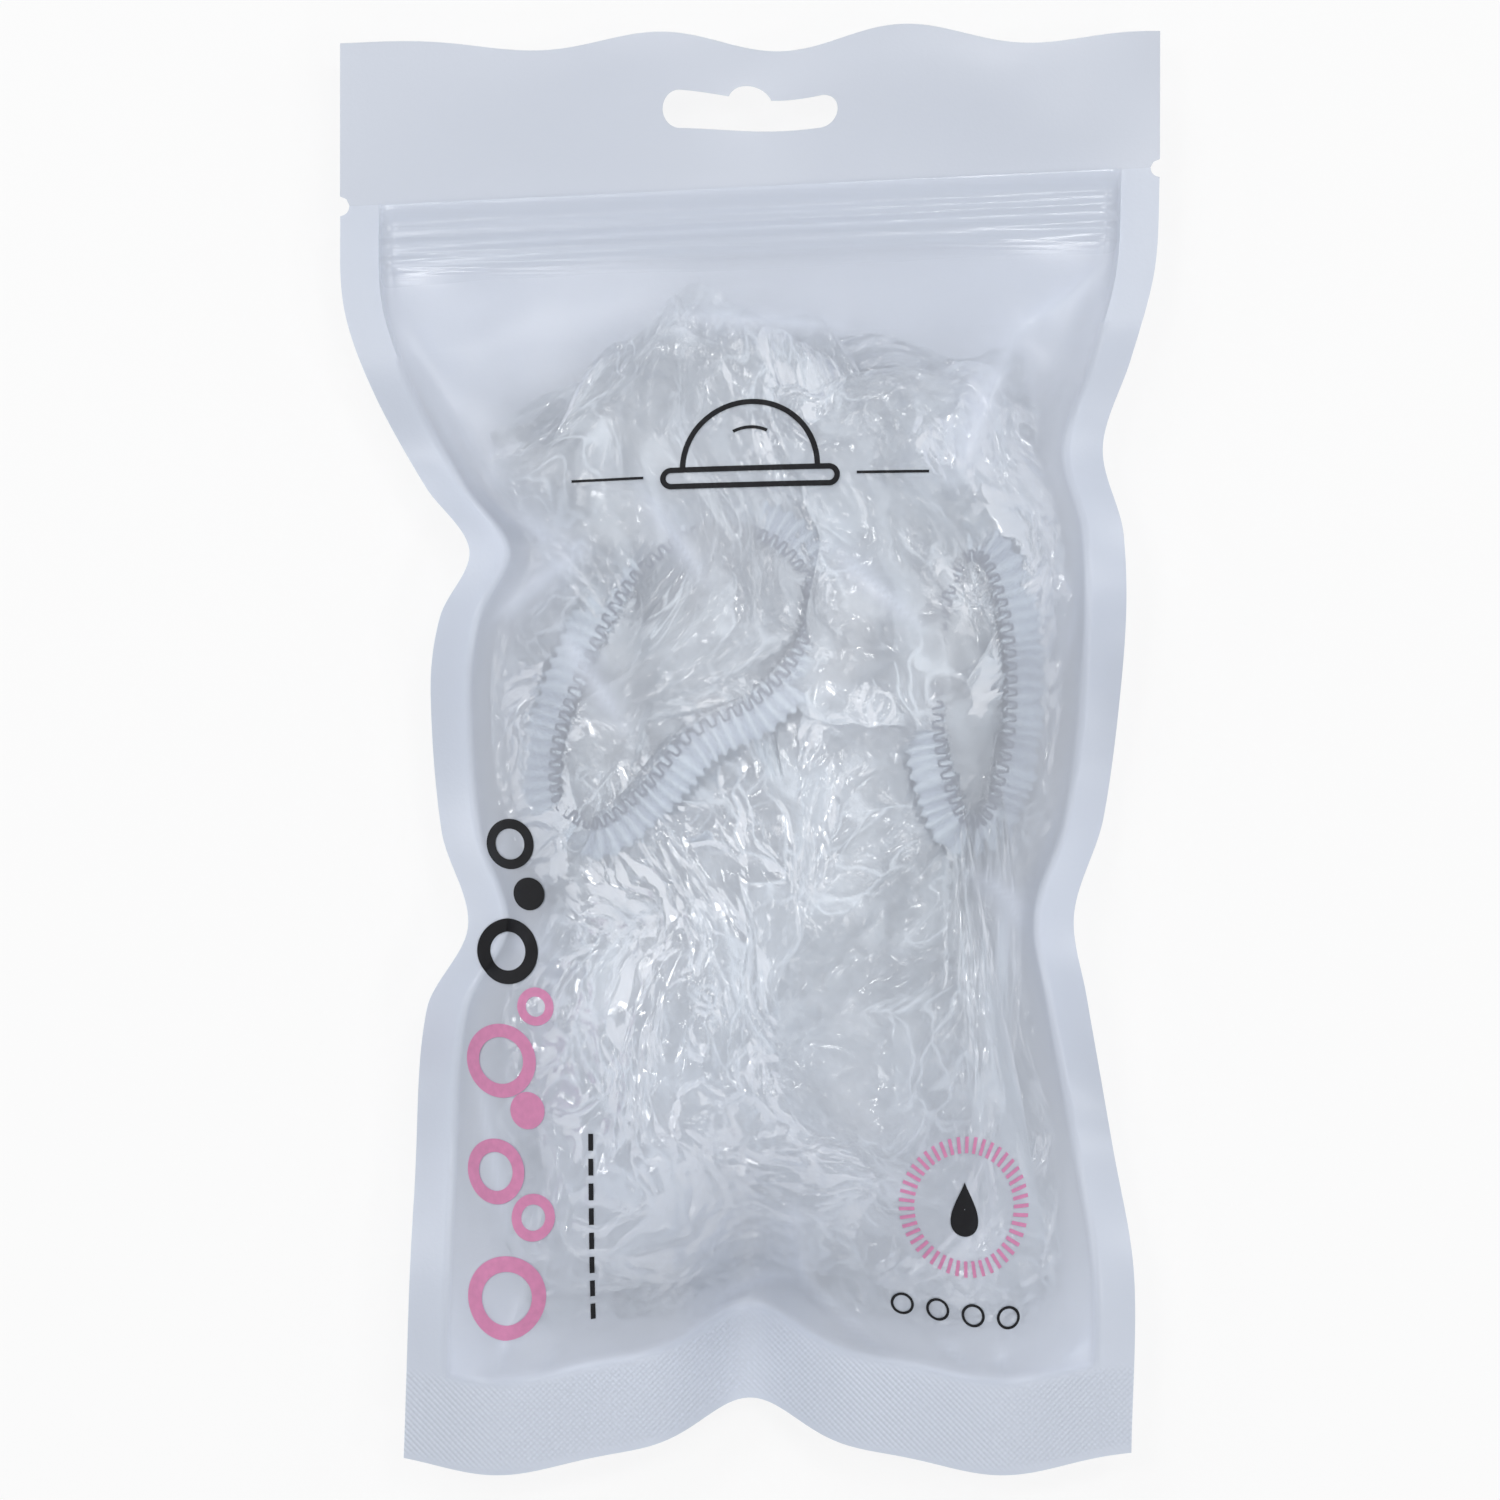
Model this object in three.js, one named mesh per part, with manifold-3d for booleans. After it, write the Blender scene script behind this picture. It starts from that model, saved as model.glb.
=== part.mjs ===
// A zip-top film pouch packed with four crumpled shower caps, lying on its back.
// Millimetres. X runs across the pouch, Y from its bottom seal to its hang slot, Z up out of its front film.
// The origin is on the table, under the middle of the pouch.

import * as THREE from "three";
import { mergeVertices } from "three/addons/utils/BufferGeometryUtils.js";
import Module from "manifold-3d";

// Pouch
const POUCH_WIDTH = 150;
const BODY_HEIGHT = 231; // from the bottom edge to the tear line
const HEADER_HEIGHT = 27; // from the tear line to the top edge
const FILM = 0.4;
const WELD_GAP = 0.3; // between the two plies where they are sealed together
const CUT_GAP = 0.4; // between pieces of one film on the two sides of a cut or fold
const SIDE_SEAL = 7;
const SHOULDER = 3; // beside each side seal, over which the films part
const BOTTOM_SEAL = 18;
const SEAL_LEVEL = 16; // height of the sealed edges above the table
const FRONT_BULGE = 33;
const LIP_HEIGHT = 28; // from the fold that the front lip turns on to the tear line
const TABLE = 0;

// Creases of the packed pouch
const PINCH = 24; // how far the deepest pinch draws a side edge in
const BOTTOM_RISE = 8.5; // how far the middle of the bottom seal is drawn up
const BOTTOM_DIP = 8; // how far it sinks below the corners
const BOTTOM_LOBE = 4; // how far the seal swells on the two sides of the dip
const DIP_SPAN = 12;
const LOBE_SPAN = 16;
const LOBE_PLACE = 46; // of each lobe from the middle of the pouch
const EDGE_WAVE = 8; // how far the side edges wave up and down, at the pouch's full width
const EDGE_WAVE_LENGTH = 70;
const HEADER_WAVE = 3;
const TOP_WAVE = 2.4; // of the top edge along the pouch, seen from the front
const TOP_WAVE_LENGTH = 47;
const TOP_WAVE_CREST = -18; // where across the pouch a crest of it lies
const TOP_WAVE_PLACE = 10; // where across the pouch it is strongest
const TOP_WAVE_SPAN = 60;
const ZIP_SLOPE = 0.048; // rise of the zip and tear line across the pouch
const TOP_SLOPE = 0.01;

// Hang slot, notches
const SLOT_LENGTH = 32;
const SLOT_WIDTH = 6.4;
const SLOT_HUMP = 4.2; // radius of the hump over the slot's middle
const SLOT_BELOW_TOP = 13;
const NOTCH_RADIUS = 1.7;

// Press-to-close zip
const ZIP_BELOW_TEAR = 8;
const ZIP_FLANGE = 8;
const ZIP_WALL = 0.4;
const ZIP_OPEN = 1.9; // how far each film stands off the seal level over the zip
const RIB_WIDTH = 1;
const RIB_HEIGHT = 1.9;
const JAW_WIDTH = 0.8;
const JAW_HEIGHT = 1.7;
const JAW_CLEARANCE = 0.9; // on each side of the rib
const FIT = 0.3; // between parts that lie on each other

// Shower caps
const CAPS_ABOVE_SEAL = 10; // from the bottom seal to the caps
const CAPS_BELOW_FOLD = 3; // from the caps to the lip's fold
const BACK_SPLIT = 0.5; // share of the caps' height that the lower back cap takes
const HEM_LOOP = 58; // length of the front left cap's hem loop
const NARROW_LOOP = [9.5, 27]; // half width and half height of the front right cap's hem loop
const NARROW_LOOP_UP = 25; // of that loop's middle above its crown's
const BACK_LOOP = [26, 18]; // half width and half height of the back caps' hem loops
const HEM_WIDTH = 7;
const HEM_THICK = 2.4;
const HEM_WALL = 0.5;
const HEM_REST = 0.8; // between the hem and the crown under it
const FRONT_ROOM = 3; // left over the front caps' hems, where the film above them is domed
const BACK_ROOM = 0.4; // left under the back caps' hems, which lie on the flat of the back film
const ELASTIC_SIDE_GAP = 0.6;
const THREAD = 0.6;
const STITCH_REACH = 1.4;
const STITCHES = 36;
const CAP_CLEARANCE = 0.3; // between the caps in front and the caps at the back
const LAYER_SPLIT = 0.45; // share of the packed depth that the back pair of caps takes
const FOLD_DEPTH = 0.22;
const FOLD_COUNT = 7;
const ROUNDNESS = 2.4; // of a crown's outline: 2 is an ellipse, more is squarer

// Mesh fineness
const COLUMNS = 16;
const BODY_ROWS = 20;
const LIP_ROWS = 4;
const HEADER_ROWS = 4;
const HEM_STEPS = 36;
const CROWN_STEPS = 24;
const CROWN_RINGS = 6;

// Where the side edges are drawn in, as [share of the body's height, share of the deepest pinch].
const LEFT_INSETS = [
  [0, 0.49], [0.2, 0.56], [0.35, 0.67], [0.415, 0.98], [0.49, 0.77], [0.6, 0.69],
  [0.66, 0.77], [0.715, 0.99], [0.77, 0.65], [0.85, 0.26], [0.92, 0.03], [1, 0],
];
const RIGHT_INSETS = [
  [0, 0.22], [0.14, 0.2], [0.24, 0.35], [0.36, 0.57], [0.425, 0.66], [0.5, 0.42],
  [0.6, 0.3], [0.72, 0.29], [0.785, 0.43], [0.85, 0.22], [0.92, 0.04], [1, 0],
];
// How full the pouch is along the space between its bottom seal and its zip, as [share, fullness].
const FULLNESS = [[0, 0], [0.1, 0.55], [0.22, 0.86], [0.45, 1], [0.62, 0.97], [0.8, 0.66], [0.92, 0.24], [1, 0]];

const HALF_WIDTH = POUCH_WIDTH / 2;
const BAG_HEIGHT = BODY_HEIGHT + HEADER_HEIGHT;
const ZIP_LINE = BODY_HEIGHT - ZIP_BELOW_TEAR;
const LIP_FOLD = BODY_HEIGHT - LIP_HEIGHT;

const wasm = await Module();
wasm.setup();

// Small helpers

const smooth = (low, high, x) => THREE.MathUtils.smoothstep(x, low, high);
const bell = (x, span) => Math.exp(-((x / span) ** 2));

// A smooth curve through [x, value] points, flat beyond its ends.
function through(points) {
  const slope = points.map(([x], i) => {
    const before = points[Math.max(i - 1, 0)];
    const after = points[Math.min(i + 1, points.length - 1)];
    return (after[1] - before[1]) / (after[0] - before[0]);
  });
  return (x) => {
    if (x <= points[0][0]) return points[0][1];
    const next = points.findIndex((p) => p[0] >= x);
    if (next < 0) return points.at(-1)[1];
    const [x0, y0] = points[next - 1];
    const [x1, y1] = points[next];
    const step = x1 - x0;
    const t = (x - x0) / step;
    const rise = y1 - y0;
    return y0 + t * (slope[next - 1] * step
      + t * (3 * rise - step * (2 * slope[next - 1] + slope[next])
      + t * (step * (slope[next - 1] + slope[next]) - 2 * rise)));
  };
}

function steps(from, to, count) {
  return Array.from({ length: count + 1 }, (_, i) => from + ((to - from) * i) / count);
}

// A closed body from a list of points and a list of faces of three or four corners.
function body(points, faces) {
  const triangles = faces.flatMap(([a, b, c, d]) => (d === undefined ? [a, b, c] : [a, b, c, a, c, d]));
  const geometry = new THREE.BufferGeometry();
  geometry.setAttribute("position", new THREE.Float32BufferAttribute(points.flat(), 3));
  geometry.setIndex(triangles);
  return geometry;
}

function solid(geometry) {
  const bare = geometry.clone();
  bare.deleteAttribute("normal");
  bare.deleteAttribute("uv");
  const merged = mergeVertices(bare, 1e-3);
  return new wasm.Manifold(new wasm.Mesh({
    numProp: 3,
    vertProperties: merged.attributes.position.array,
    triVerts: new Uint32Array(merged.index.array),
  }));
}

function cut(geometry, ...cutters) {
  const left = cutters.reduce((kept, cutter) => kept.subtract(solid(cutter)), solid(geometry));
  const mesh = left.getMesh();
  const made = new THREE.BufferGeometry();
  made.setAttribute("position", new THREE.Float32BufferAttribute(mesh.vertProperties, 3));
  made.setIndex(Array.from(mesh.triVerts));
  return made;
}

// A sheet over a grid of rows and columns. upper and lower give the points of its two sides, and keep says
// which cells of the grid it has.
function sheet(rows, columns, upper, lower, keep = () => true) {
  const width = columns + 1;
  const points = [];
  for (const side of [upper, lower]) {
    for (let r = 0; r <= rows; r++) {
      for (let c = 0; c <= columns; c++) points.push(side(r, c));
    }
  }
  const under = (rows + 1) * width;
  const at = (r, c) => r * width + c;
  const has = (r, c) => r >= 0 && c >= 0 && r < rows && c < columns && keep(r, c);
  const faces = [];
  for (let r = 0; r < rows; r++) {
    for (let c = 0; c < columns; c++) {
      if (!has(r, c)) continue;
      const [a, b, d, e] = [at(r, c), at(r, c + 1), at(r + 1, c + 1), at(r + 1, c)];
      faces.push([a, b, d, e], [under + a, under + e, under + d, under + b]);
      if (!has(r - 1, c)) faces.push([b, a, under + a, under + b]);
      if (!has(r, c + 1)) faces.push([d, b, under + b, under + d]);
      if (!has(r + 1, c)) faces.push([e, d, under + d, under + e]);
      if (!has(r, c - 1)) faces.push([a, e, under + e, under + a]);
    }
  }
  const used = [...new Set(faces.flat())];
  const place = new Map(used.map((point, i) => [point, i]));
  return body(used.map((i) => points[i]), faces.map((face) => face.map((i) => place.get(i))));
}

// A section carried through a list of places, closed into a ring or capped at its two ends.
function sweep(places, section, ring) {
  const sides = section.length;
  const points = places.flatMap((place) => section.map((corner) => place(corner)));
  const faces = [];
  const turns = ring ? places.length : places.length - 1;
  for (let i = 0; i < turns; i++) {
    const here = i * sides;
    const there = ((i + 1) % places.length) * sides;
    for (let k = 0; k < sides; k++) {
      const next = (k + 1) % sides;
      const rising = section[next][0] >= section[k][0];
      const [near, far] = rising ? [k, next] : [next, k];
      const face = [here + near, here + far, there + far, there + near];
      faces.push(rising ? face : [face[0], face[3], face[2], face[1]]);
    }
  }
  if (!ring) {
    const flat = THREE.ShapeUtils.triangulateShape(section.map(([x, y]) => new THREE.Vector2(x, y)), []);
    const last = (places.length - 1) * sides;
    for (const [a, b, c] of flat) faces.push([c, b, a], [last + a, last + b, last + c]);
  }
  return body(points, faces);
}

// The pouch's film: s is the height up the bag from its bottom edge

const leftInset = through(LEFT_INSETS);
const rightInset = through(RIGHT_INSETS);
const fullness = through(FULLNESS);
const leftEdge = (s) => -HALF_WIDTH + PINCH * leftInset(s / BODY_HEIGHT);
const rightEdge = (s) => HALF_WIDTH - PINCH * rightInset(s / BODY_HEIGHT);

// The dip in the middle of the bottom seal and the lobes beside it, fading out up the bag.
const bottomFade = (s) => 1 - smooth(BOTTOM_SEAL, 4 * BOTTOM_SEAL, s);
const lobes = (x) => bell(x - LOBE_PLACE, LOBE_SPAN) + bell(x + LOBE_PLACE, LOBE_SPAN);

function slopeAt(s) {
  if (s > BODY_HEIGHT) return THREE.MathUtils.mapLinear(s, BODY_HEIGHT, BAG_HEIGHT, ZIP_SLOPE, TOP_SLOPE);
  return ZIP_SLOPE * smooth(LIP_FOLD - 2 * LIP_HEIGHT, LIP_FOLD, s);
}

const topWave = (s, x) =>
  TOP_WAVE * bell(x - TOP_WAVE_PLACE, TOP_WAVE_SPAN)
  * Math.cos((2 * Math.PI * (x - TOP_WAVE_CREST)) / TOP_WAVE_LENGTH) * smooth(BODY_HEIGHT, BAG_HEIGHT, s);

// The height on the table of a place on the bag, from the bottom corners and then from the pouch's middle.
const rise = (s, x) =>
  s + slopeAt(s) * x + topWave(s, x)
  + (BOTTOM_RISE * bell(x, DIP_SPAN) - BOTTOM_LOBE * lobes(x)) * bottomFade(s);
const acrossPouch = steps(-HALF_WIDTH, HALF_WIDTH, 300);
const top = Math.max(...acrossPouch.map((x) => rise(BAG_HEIGHT, x)));
const bottom = Math.min(...acrossPouch.map((x) => rise(0, x)));
const MIDDLE = (top + bottom) / 2;
const bagY = (s, x) => rise(s, x) - MIDDLE;

// The height above the table of the level where the two plies meet.
const sealZ = (s, x) =>
  SEAL_LEVEL
  + (BOTTOM_LOBE * lobes(x) - BOTTOM_DIP * bell(x, DIP_SPAN)) * bottomFade(s)
  + EDGE_WAVE * Math.sin((2 * Math.PI * s) / EDGE_WAVE_LENGTH) * (x / HALF_WIDTH) ** 4
  * (1 - bottomFade(s)) * (1 - smooth(LIP_FOLD - LIP_HEIGHT, LIP_FOLD, s))
  + HEADER_WAVE * Math.sin((2 * Math.PI * x) / POUCH_WIDTH) * smooth(ZIP_LINE, BAG_HEIGHT, s);

// How far across the space between the side seals x lies, from -1 to 1.
function across(s, x) {
  const low = leftEdge(s) + SIDE_SEAL;
  const high = rightEdge(s) - SIDE_SEAL;
  return THREE.MathUtils.clamp((2 * x - low - high) / (high - low), -1, 1);
}

const fill = (s) => fullness((s - BOTTOM_SEAL) / (ZIP_LINE - BOTTOM_SEAL));
const lens = (s, x) => 1 - Math.abs(across(s, x)) ** 2.5;
const zipLift = (s, x) =>
  ZIP_OPEN * Math.min(1, 12 * lens(s, x)) * smooth(LIP_FOLD, ZIP_LINE - ZIP_FLANGE / 2, s)
  * (1 - smooth(ZIP_LINE + ZIP_FLANGE / 2, BODY_HEIGHT, s));

// The inner faces of the front and back films.
const frontZ = (s, x) => sealZ(s, x) + WELD_GAP / 2 + FRONT_BULGE * fill(s) * lens(s, x) + zipLift(s, x);
const backZ = (s, x) => {
  const sag = SEAL_LEVEL * fill(s) * Math.min(1, 1.7 * lens(s, x)) * 1.25;
  return Math.max(sealZ(s, x) - WELD_GAP / 2 - sag - zipLift(s, x), TABLE + FILM);
};

// The places across the bag of a film's columns: its edges, its seals' inner edges, the shoulders beside those,
// and even steps between them.
function columnX(s, c) {
  const low = leftEdge(s);
  const high = rightEdge(s);
  if (c === 0) return low;
  if (c === 1) return low + SIDE_SEAL;
  if (c === COLUMNS - 1) return high - SIDE_SEAL;
  if (c === COLUMNS) return high;
  const inset = SIDE_SEAL + SHOULDER;
  return THREE.MathUtils.mapLinear(c, 2, COLUMNS - 2, low + inset, high - inset);
}

const bodyRows = [0, ...steps(BOTTOM_SEAL, LIP_FOLD - CUT_GAP, BODY_ROWS)];
const lipRows = [
  ...steps(LIP_FOLD, ZIP_LINE - ZIP_FLANGE / 2, LIP_ROWS),
  ZIP_LINE + ZIP_FLANGE / 2,
  BODY_HEIGHT - CUT_GAP,
];
const filmRows = [...bodyRows, ...lipRows];
const headerRows = steps(BODY_HEIGHT, BAG_HEIGHT, HEADER_ROWS);

function film(rows, x, z, keep) {
  const point = (lift) => (r, c) => {
    const s = rows[r];
    const px = x(s, c);
    return [px, bagY(s, px), z(s, px) + lift];
  };
  return { point, made: (up, down) => sheet(rows.length - 1, COLUMNS, point(up), point(down), keep) };
}

// A notch that starts the tear, cut right through at one end of the tear line.
function notch(x) {
  const hole = new THREE.CylinderGeometry(NOTCH_RADIUS, NOTCH_RADIUS, FRONT_BULGE, 12);
  hole.rotateX(Math.PI / 2);
  hole.translate(x, bagY(BODY_HEIGHT, x), SEAL_LEVEL);
  return hole;
}
const notches = [notch(leftEdge(BODY_HEIGHT)), notch(rightEdge(BODY_HEIGHT))];

function frontFilm() {
  const besideLip = (r, c) => r < bodyRows.length - 1 || c === 0 || c === COLUMNS - 1;
  return cut(film(filmRows, columnX, frontZ, besideLip).made(FILM, 0), ...notches);
}

function backFilm() {
  return cut(film(filmRows, columnX, backZ).made(0, -FILM), ...notches);
}

// The front film's upper stretch between the side seals, which turns on the fold to open the mouth.
function frontLip() {
  const x = (s, c) => {
    if (c < 2) return leftEdge(s) + SIDE_SEAL + (c === 0 ? CUT_GAP : SHOULDER);
    if (c > COLUMNS - 2) return rightEdge(s) - SIDE_SEAL - (c === COLUMNS ? CUT_GAP : SHOULDER);
    return THREE.MathUtils.mapLinear(c, 1, COLUMNS - 1, x(s, 1), x(s, COLUMNS - 1));
  };
  return film(lipRows, x, frontZ).made(FILM, 0);
}

// The hang slot: a long slot with round ends and a round hump over its middle, on which the pouch centres.
function hangSlot() {
  const end = SLOT_WIDTH / 2;
  const reach = SLOT_LENGTH / 2 - end;
  const long = new THREE.Shape();
  long.absarc(reach, 0, end, -Math.PI / 2, Math.PI / 2, false);
  long.absarc(-reach, 0, end, Math.PI / 2, 1.5 * Math.PI, false);
  const hump = new THREE.Shape();
  hump.absarc(0, end / 2, SLOT_HUMP, 0, 2 * Math.PI, false);
  const place = bagY(BAG_HEIGHT - SLOT_BELOW_TOP, 0);
  return [long, hump].map((shape) => {
    const hole = new THREE.ExtrudeGeometry(shape, { depth: FRONT_BULGE, bevelEnabled: false, curveSegments: 8 });
    return hole.translate(0, place, SEAL_LEVEL - FRONT_BULGE / 2);
  });
}

// The two plies sealed into one sheet above the tear line.
function tearOffHeader() {
  const ply = WELD_GAP / 2 + FILM;
  return cut(film(headerRows, columnX, sealZ).made(ply, -ply), ...notches, ...hangSlot());
}

// The zip's strips, each a flange under its film with a rib or two jaws standing on it. A section's corners are
// given across the zip and up from the seal level.
function zipStrip(section) {
  const low = leftEdge(ZIP_LINE) + SIDE_SEAL + SHOULDER + FIT;
  const high = rightEdge(ZIP_LINE) - SIDE_SEAL - SHOULDER - FIT;
  const places = steps(low, high, COLUMNS).map((x) => ([along, up]) =>
    [x, bagY(ZIP_LINE, x) + along, sealZ(ZIP_LINE, x) + up]);
  return sweep(places, section, false);
}

function zipRib() {
  const edge = ZIP_FLANGE / 2;
  const top = WELD_GAP / 2 + ZIP_OPEN - FIT;
  const face = top - ZIP_WALL;
  const tip = face - RIB_HEIGHT;
  const half = RIB_WIDTH / 2;
  return zipStrip([
    [edge, face], [edge, top], [-edge, top], [-edge, face],
    [-half, face], [-half, tip], [half, tip], [half, face],
  ]);
}

function zipChannel() {
  const edge = ZIP_FLANGE / 2;
  const foot = -(WELD_GAP / 2 + ZIP_OPEN - FIT);
  const face = foot + ZIP_WALL;
  const top = face + JAW_HEIGHT;
  const inner = RIB_WIDTH / 2 + JAW_CLEARANCE;
  const outer = inner + JAW_WIDTH;
  return zipStrip([
    [-edge, face], [-edge, foot], [edge, foot], [edge, face], [outer, face], [outer, top],
    [inner, top], [inner, face], [-inner, face], [-inner, top], [-outer, top], [-outer, face],
  ]);
}

// Shower caps: the space inside the pouch at a place on the table

// The height up the bag of a place, the other way round from bagY.
function heightUp(x, y) {
  let s = y + MIDDLE;
  for (let i = 0; i < 12; i++) s += y - bagY(s, x);
  return s;
}

// The place across the bag that lies at a share of the way between its side seals, from -1 to 1.
function shareX(s, share) {
  return THREE.MathUtils.mapLinear(share, -1, 1, leftEdge(s) + SIDE_SEAL, rightEdge(s) - SIDE_SEAL);
}

// A cap's soft body lies between two levels, less the room that its hem takes on the side that shows.
function bodyRange(cap, s, x) {
  const floor = backZ(s, x);
  const depth = frontZ(s, x) - floor;
  const spare = cap.front ? FRONT_ROOM : BACK_ROOM;
  const hemRoom = Math.min(HEM_THICK + HEM_REST + spare, depth / 4);
  const split = floor + depth * LAYER_SPLIT;
  if (cap.front) return [split + CAP_CLEARANCE, floor + depth - hemRoom];
  return [floor + hemRoom, split - CAP_CLEARANCE];
}

const swell = (share) => Math.sqrt(Math.max(0, 1 - share ** ROUNDNESS));

// The side of the cap's body that carries the hem, before it is folded.
function showingSide(cap, x, y) {
  const s = heightUp(x, y);
  const sideways = Math.abs((across(s, x) - cap.middle[0]) / cap.half[0]);
  const upwards = Math.abs((s - cap.middle[1]) / cap.half[1]);
  const share = (sideways ** ROUNDNESS + upwards ** ROUNDNESS) ** (1 / ROUNDNESS);
  const [low, high] = bodyRange(cap, s, x);
  const middle = (low + high) / 2;
  return middle + ((cap.front ? high : low) - middle) * swell(share);
}

// The crumpled bonnet: a flat crowned body whose two sides are drawn in by folds.
function crown(cap) {
  const point = (ring, k, side) => {
    const share = Math.sin((Math.PI / 2) * (ring / CROWN_RINGS));
    const angle = (2 * Math.PI * k) / CROWN_STEPS;
    const [cos, sin] = [Math.cos(angle), Math.sin(angle)];
    const reach = share * (Math.abs(cos) ** ROUNDNESS + Math.abs(sin) ** ROUNDNESS) ** (-1 / ROUNDNESS);
    const s = cap.middle[1] + cap.half[1] * reach * sin;
    const x = shareX(s, cap.middle[0] + cap.half[0] * reach * cos);
    const [low, high] = bodyRange(cap, s, x);
    const fold = 1 - FOLD_DEPTH * share * (0.5 + 0.5 * Math.cos(FOLD_COUNT * angle + ring));
    return [x, bagY(s, x), (low + high) / 2 + side * ((high - low) / 2) * swell(share) * fold];
  };
  const points = [point(0, 0, 1), point(0, 0, -1)];
  const top = (ring, k) => 2 + (ring - 1) * CROWN_STEPS + (k % CROWN_STEPS);
  const under = (ring, k) => (ring === CROWN_RINGS ? top(ring, k) : top(ring, k) + CROWN_RINGS * CROWN_STEPS);
  for (const side of [1, -1]) {
    const last = side > 0 ? CROWN_RINGS : CROWN_RINGS - 1;
    for (let ring = 1; ring <= last; ring++) {
      for (let k = 0; k < CROWN_STEPS; k++) points.push(point(ring, k, side));
    }
  }
  const faces = [];
  for (let k = 0; k < CROWN_STEPS; k++) {
    faces.push([0, top(1, k), top(1, k + 1)], [1, under(1, k + 1), under(1, k)]);
    for (let ring = 1; ring < CROWN_RINGS; ring++) {
      faces.push([top(ring, k), top(ring + 1, k), top(ring + 1, k + 1), top(ring, k + 1)]);
      faces.push([under(ring, k + 1), under(ring + 1, k + 1), under(ring + 1, k), under(ring, k)]);
    }
  }
  return body(points, faces);
}

// The hem's loop, lying on the showing side of the crown and tilting with it. Each place takes the distance
// inwards from the middle of the band and the distance out from the crown.
function hemPlaces(cap, count) {
  const x0 = shareX(cap.middle[1], cap.middle[0]);
  const y0 = bagY(cap.middle[1], x0);
  const route = new THREE.CatmullRomCurve3(cap.hem.map(([x, y]) => new THREE.Vector3(x0 + x, y0 + y, 0)), true);
  const away = cap.front ? 1 : -1;
  const half = HEM_WIDTH / 2;
  return steps(0, 1, count).slice(0, -1).map((t) => {
    const at = route.getPointAt(t);
    const tangent = route.getTangentAt(t);
    const inward = [-tangent.y, tangent.x];
    const beside = (offset) => away * showingSide(cap, at.x + inward[0] * offset, at.y + inward[1] * offset);
    const tilt = (beside(half) - beside(-half)) / HEM_WIDTH;
    const slant = (offset) => tilt * THREE.MathUtils.clamp(offset, -half, half);
    const touching = steps(-half, half + STITCH_REACH + THREAD, 6).map((offset) => beside(offset) - slant(offset));
    const rest = Math.max(...touching) + HEM_REST;
    return ([inwards, outwards]) => [
      at.x + inward[0] * inwards,
      at.y + inward[1] * inwards,
      away * (rest + slant(inwards) + outwards),
    ];
  });
}

// Sections run anticlockwise seen along the loop. On the back caps the loop's upright axis points down, so the
// section is taken the other way round.
const facing = (cap, section) => (cap.front ? section : [...section].reverse());

// The casing: the cap's edge folded round the elastic, open on the loop's inner side.
function hemCasing(cap) {
  const half = HEM_WIDTH / 2;
  const low = HEM_WALL;
  const high = HEM_THICK - HEM_WALL;
  const section = [
    [-half, 0], [half, 0], [half, low], [low - half, low],
    [low - half, high], [half, high], [half, HEM_THICK], [-half, HEM_THICK],
  ];
  return sweep(hemPlaces(cap, HEM_STEPS), facing(cap, section), true);
}

// The flat elastic that gathers the hem.
function elastic(cap) {
  const half = HEM_WIDTH / 2;
  const low = HEM_WALL + FIT;
  const high = HEM_THICK - HEM_WALL - FIT;
  const start = HEM_WALL + FIT - half;
  const end = half - ELASTIC_SIDE_GAP;
  return sweep(hemPlaces(cap, HEM_STEPS), facing(cap, [[start, low], [end, low], [end, high], [start, high]]), true);
}

// The overlock thread that closes the casing, passing over its mouth from one lip to the other and back.
function stitching(cap) {
  const start = HEM_WIDTH / 2 + FIT;
  const places = hemPlaces(cap, 2 * STITCHES).map((place, i) => ([inwards, outwards]) =>
    place([inwards + start + (i % 2) * STITCH_REACH, outwards]));
  const mid = HEM_THICK / 2;
  const triangle = [[0, mid - THREAD / 2], [THREAD, mid], [0, mid + THREAD / 2]];
  return sweep(places, facing(cap, triangle), true);
}

// The middle and half of a stretch.
const span = (low, high) => [(low + high) / 2, (high - low) / 2];
const capsLow = BOTTOM_SEAL + CAPS_ABOVE_SEAL;
const capsHigh = LIP_FOLD - CAPS_BELOW_FOLD;
const backSplit = THREE.MathUtils.lerp(capsLow, capsHigh, BACK_SPLIT);

// A cap, from the stretches that its crown takes across and up the bag, and its hem's loop.
function capAt(name, front, [sideways, sidewaysHalf], [upwards, upwardsHalf], hem) {
  return { name, front, middle: [sideways, upwards], half: [sidewaysHalf, upwardsHalf], hem };
}

function oval([a, b], up) {
  return steps(0, 2 * Math.PI, 10).slice(0, -1).map((angle) => {
    return [a * Math.cos(angle), up + b * Math.sin(angle)];
  });
}

// The front left hem's loop, drawn in by its elastic, as shares of its length from its crown's middle.
const bentLoop = [
  [-0.17, 0.83], [-0.34, 0.55], [-0.45, 0.24], [-0.43, 0.05], [-0.28, -0.03], [-0.1, 0.09],
  [0.05, 0.26], [0.24, 0.36], [0.38, 0.52], [0.43, 0.72], [0.31, 0.91], [0.07, 0.97],
].map(([x, y]) => [HEM_LOOP * x, HEM_LOOP * y]);

// Two caps lie side by side under the front film, and two one above the other on the back film. Stretches
// across the bag are shares of the width between its side seals, from -1 to 1.
const frontUp = span(capsLow, capsHigh);
const CAPS = [
  capAt("cap_1", true, span(-0.93, 0.36), frontUp, bentLoop),
  capAt("cap_2", true, span(0.4, 0.95), frontUp, oval(NARROW_LOOP, NARROW_LOOP_UP)),
  capAt("cap_3", false, span(-0.85, 0.85), span(backSplit + FIT, capsHigh), oval(BACK_LOOP, 0)),
  capAt("cap_4", false, span(-0.85, 0.85), span(capsLow, backSplit - FIT), oval(BACK_LOOP, 0)),
];

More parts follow.
